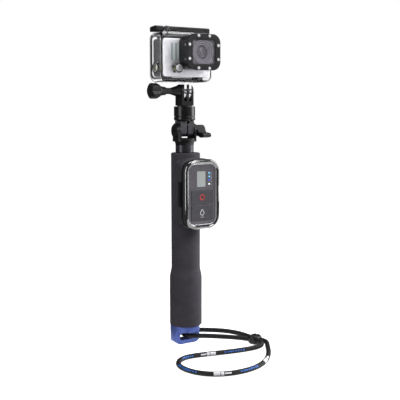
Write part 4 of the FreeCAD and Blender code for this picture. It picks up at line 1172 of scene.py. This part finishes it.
def lobed_ring(radius, bore, axis, centre, start, end, steps=60):
    """A flat ring about an axis, with a round bore and a lobed rim."""
    rings = []
    for share, place in ((1.0, start), (1.0, end), (0.0, end), (0.0, start)):
        ring = []
        for j in range(steps):
            a = 2 * math.pi * j / steps
            lobed = radius * (1 + CLIP_LOBE_DEPTH * math.cos(CLIP_LOBES * a))
            reach = bore + (lobed - bore) * share
            ring.append(beside_axis(axis, centre, reach, a, place))
        rings.append(ring)
    return loft(rings)


def spring_clip(sizes, axis, centre, outer_end):
    """A clip of lobed rings round a button's stem, measured from the button's outer end."""
    rings = []
    for radius, bore, start, end in sizes:
        first, last = outer_end + start * MM, outer_end + end * MM
        rings.append(lobed_ring(radius * MM, bore * MM, axis, centre, first, last))
    return joined(*rings)


low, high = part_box("mode_button")
stem = ((low.x + high.x) / 2, 0.0, (low.z + high.z) / 2)
front_clip = spring_clip(FRONT_CLIP, "Y", stem, low.y)
piece("front_button_clip", *front_clip, ["seal"], "case", "seal")
low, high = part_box("side_button")
stem = (0.0, (low.y + high.y) / 2, (low.z + high.z) / 2)
side_clip = spring_clip(SIDE_CLIP, "X", stem, low.x)
piece("side_button_clip", *side_clip, ["seal"], "case", "seal")

# A pin's turned outline: radius and place along X, in millimetres.
PIN_PROFILE = (
    (0.3, 0.1),
    (0.9, 0.1),
    (0.9, -0.05),
    (0.6, -0.2),
    (0.3, -0.2),
)
PIN_DEPTH = 12.8 * MM
PIN_HALF_PITCH = 7.6 * MM

low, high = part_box("port_box")
pin_profile = [(radius * MM, place * MM) for radius, place in PIN_PROFILE]
pins = [
    turn(
        pin_profile,
        "X",
        (low.x, high.y - PIN_DEPTH, (low.z + high.z) / 2 + offset),
        steps=20,
    )
    for offset in (-PIN_HALF_PITCH, PIN_HALF_PITCH)
]
piece("port_pins", *joined(*pins), ["steel"], "case", "steel")

# ---- lens rings and mask behind the port glass -------------------------------------------------

# Radii of the stepped rings from the outside in, and the width of a step, in millimetres.
RING_RADII = (13.3, 12.4, 11.5, 10.6, 9.7, 8.8, 8.0)
RING_WIDTH = 0.55
RING_RISE = 0.32 * MM
RING_SLOPE = 0.4
RING_GAP = 0.05 * MM
MASK_SIZE = (33.6 * MM, 31.0 * MM)
MASK_CORNER = 5.0 * MM
MASK_HOLE = 13.2 * MM
MASK_CORNER_STEPS = 24
MASK_FRONT = 0.5 * MM
MASK_BACK = 0.1 * MM

low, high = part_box("camera_lens_barrel")
lens_centre = ((low.x + high.x) / 2, 0.0, (low.z + high.z) / 2)
ring_back = low.y - RING_GAP
crest = ring_back - RING_RISE * len(RING_RADII)
ring_profile = [(RING_RADII[0] * MM, ring_back)]
for i, radius in enumerate(RING_RADII):
    ring_profile.append((radius * MM, crest + RING_RISE * i))
    ring_profile.append(((radius - RING_WIDTH) * MM, crest + RING_RISE * (i + RING_SLOPE)))
ring_profile.append(((RING_RADII[-1] - RING_WIDTH) * MM, ring_back))
lens_rings = turn(ring_profile, "Y", lens_centre, steps=96)
piece("lens_rings", *lens_rings, ["lens_barrel"], "case", "camera_grey")

low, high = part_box("port_box")
mask_edge = soft_rectangle(*MASK_SIZE, MASK_CORNER, MASK_CORNER_STEPS)
mask_hole = []
for x, z in mask_edge:
    share = MASK_HOLE / math.hypot(x, z)
    mask_hole.append((x * share, z * share))
mask_levels = (
    (mask_edge, ring_back - MASK_BACK),
    (mask_edge, ring_back - MASK_FRONT),
    (mask_hole, ring_back - MASK_FRONT),
    (mask_hole, ring_back - MASK_BACK),
)
mask = loft(facing(mask_levels, face_middle(low, high)))
piece("lens_mask", *mask, ["mask_grey"], "case", "camera_grey")

# ---- dark pieces above and below the camera ----------------------------------------------------

# A dark slab just above the camera's top and a thinner one just below its bottom.
TOP_SLAB = 3.2 * MM
LOW_SLAB = 1.2 * MM
SLAB_GAP = 0.15 * MM
SLAB_CORNER = 3.0 * MM
SLAB_NARROWER = 4.0 * MM
SLAB_SHALLOWER = 6.0 * MM

# Each level of a slab from the bottom up: its size and its height, as shares of the whole.
SLAB_LEVELS = ((0.97, 0.0), (1.0, 0.2), (1.0, 0.8), (0.97, 1.0))

low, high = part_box("camera_body")
slab_outline = soft_rectangle(
    high.x - low.x - SLAB_NARROWER, high.y - low.y - SLAB_SHALLOWER, SLAB_CORNER
)
slab_middle = ((low.x + high.x) / 2, (low.y + high.y) / 2)
for slab_name, base, thick in (
    ("camera_top_dark_slab", high.z + SLAB_GAP, TOP_SLAB),
    ("camera_low_dark_slab", low.z - SLAB_GAP - LOW_SLAB, LOW_SLAB),
):
    slab_rings = []
    for share, level in SLAB_LEVELS:
        outline = scaled(slab_outline, share)
        z = base + thick * level
        slab_rings.append([Vector((slab_middle[0] + x, slab_middle[1] + y, z)) for x, y in outline])
    piece(slab_name, *capped(slab_rings), ["seal"], "case", "seal")

# ---- floor, light and sky ----------------------------------------------------------------------

FLOOR_DROP = 0.3 * MM
FLOOR_SIZE = 6.0
FLOOR_CORNER = 0.1
FLOOR_GLOW = 0.97
TABLE_RADIUS = 0.58
TABLE_CENTRE = (0.4, -0.35)
TABLE_DROP = 0.25 * MM
floor_look = finish("floor", colour=tone(190, 190, 192), rough=(0.8, 0.9), edge=0.01)
floor_look.set(Emission_Color=(1.0, 1.0, 1.0, 1.0), Emission_Strength=FLOOR_GLOW)


def ground(name, outline, drop):
    """A flat pale sheet under the object, lit evenly so that it reads as a white sweep."""
    mesh = bpy.data.meshes.new(name)
    mesh.from_pydata([(x, y, -drop) for x, y in outline], [], [tuple(range(len(outline)))])
    mesh.materials.append(floor_look.material)
    sheet = bpy.data.objects.new(name, mesh)
    bpy.context.scene.collection.objects.link(sheet)
    sheet.visible_diffuse = False
    return sheet


# The floor is left out of reflections, and the smaller table shows only in them.
floor = ground("floor", soft_rectangle(FLOOR_SIZE, FLOOR_SIZE, FLOOR_CORNER), FLOOR_DROP)
floor.visible_glossy = False
table_edge = [(x + TABLE_CENTRE[0], y + TABLE_CENTRE[1]) for x, y in circle(TABLE_RADIUS)]
table = ground("table", table_edge, TABLE_DROP)
table.visible_camera = False
table.visible_transmission = False
table.visible_shadow = False


def softbox(name, place, aim, size, energy):
    """A rectangular area light at a place, turned to its aim."""
    light = bpy.data.lights.new(name, "AREA")
    light.shape = "RECTANGLE"
    light.size, light.size_y = size
    light.energy = energy
    lamp = bpy.data.objects.new(name, light)
    lamp.location = place
    lamp.rotation_euler = (Vector(aim) - Vector(place)).to_track_quat("-Z", "Y").to_euler()
    bpy.context.scene.collection.objects.link(lamp)


OBJECT_MIDDLE = (0.0, 0.0, 0.2)
softbox("right_box", (0.95, -0.25, 0.55), OBJECT_MIDDLE, size=(0.7, 1.1), energy=11.5)
softbox("front_box", (0.5, -1.15, 0.95), OBJECT_MIDDLE, size=(0.5, 0.5), energy=11.0)
softbox("left_box", (-1.0, -0.15, 0.5), OBJECT_MIDDLE, size=(0.4, 1.1), energy=5.0)
softbox("top_box", (0.1, 0.1, 1.3), OBJECT_MIDDLE, size=(1.0, 0.8), energy=12.0)

# The sky is full white to the camera and through clear plastic, and dim as a light.
SKY_LIGHT = 0.1
world = bpy.data.worlds.new("studio")
world.use_nodes = True
bpy.context.scene.world = world
sky = world.node_tree
background = sky.nodes["Background"]
background.inputs["Color"].default_value = (1.0, 1.0, 1.0, 1.0)
path = sky.nodes.new("ShaderNodeLightPath")
seen = sky.nodes.new("ShaderNodeMath")
seen.operation = "MAXIMUM"
sky.links.new(path.outputs["Is Camera Ray"], seen.inputs[0])
sky.links.new(path.outputs["Is Transmission Ray"], seen.inputs[1])
level = sky.nodes.new("ShaderNodeMapRange")
level.inputs["To Min"].default_value = SKY_LIGHT
level.inputs["To Max"].default_value = 1.0
sky.links.new(seen.outputs["Value"], level.inputs["Value"])
sky.links.new(level.outputs["Result"], background.inputs["Strength"])
bpy.context.scene.view_settings.view_transform = "Standard"
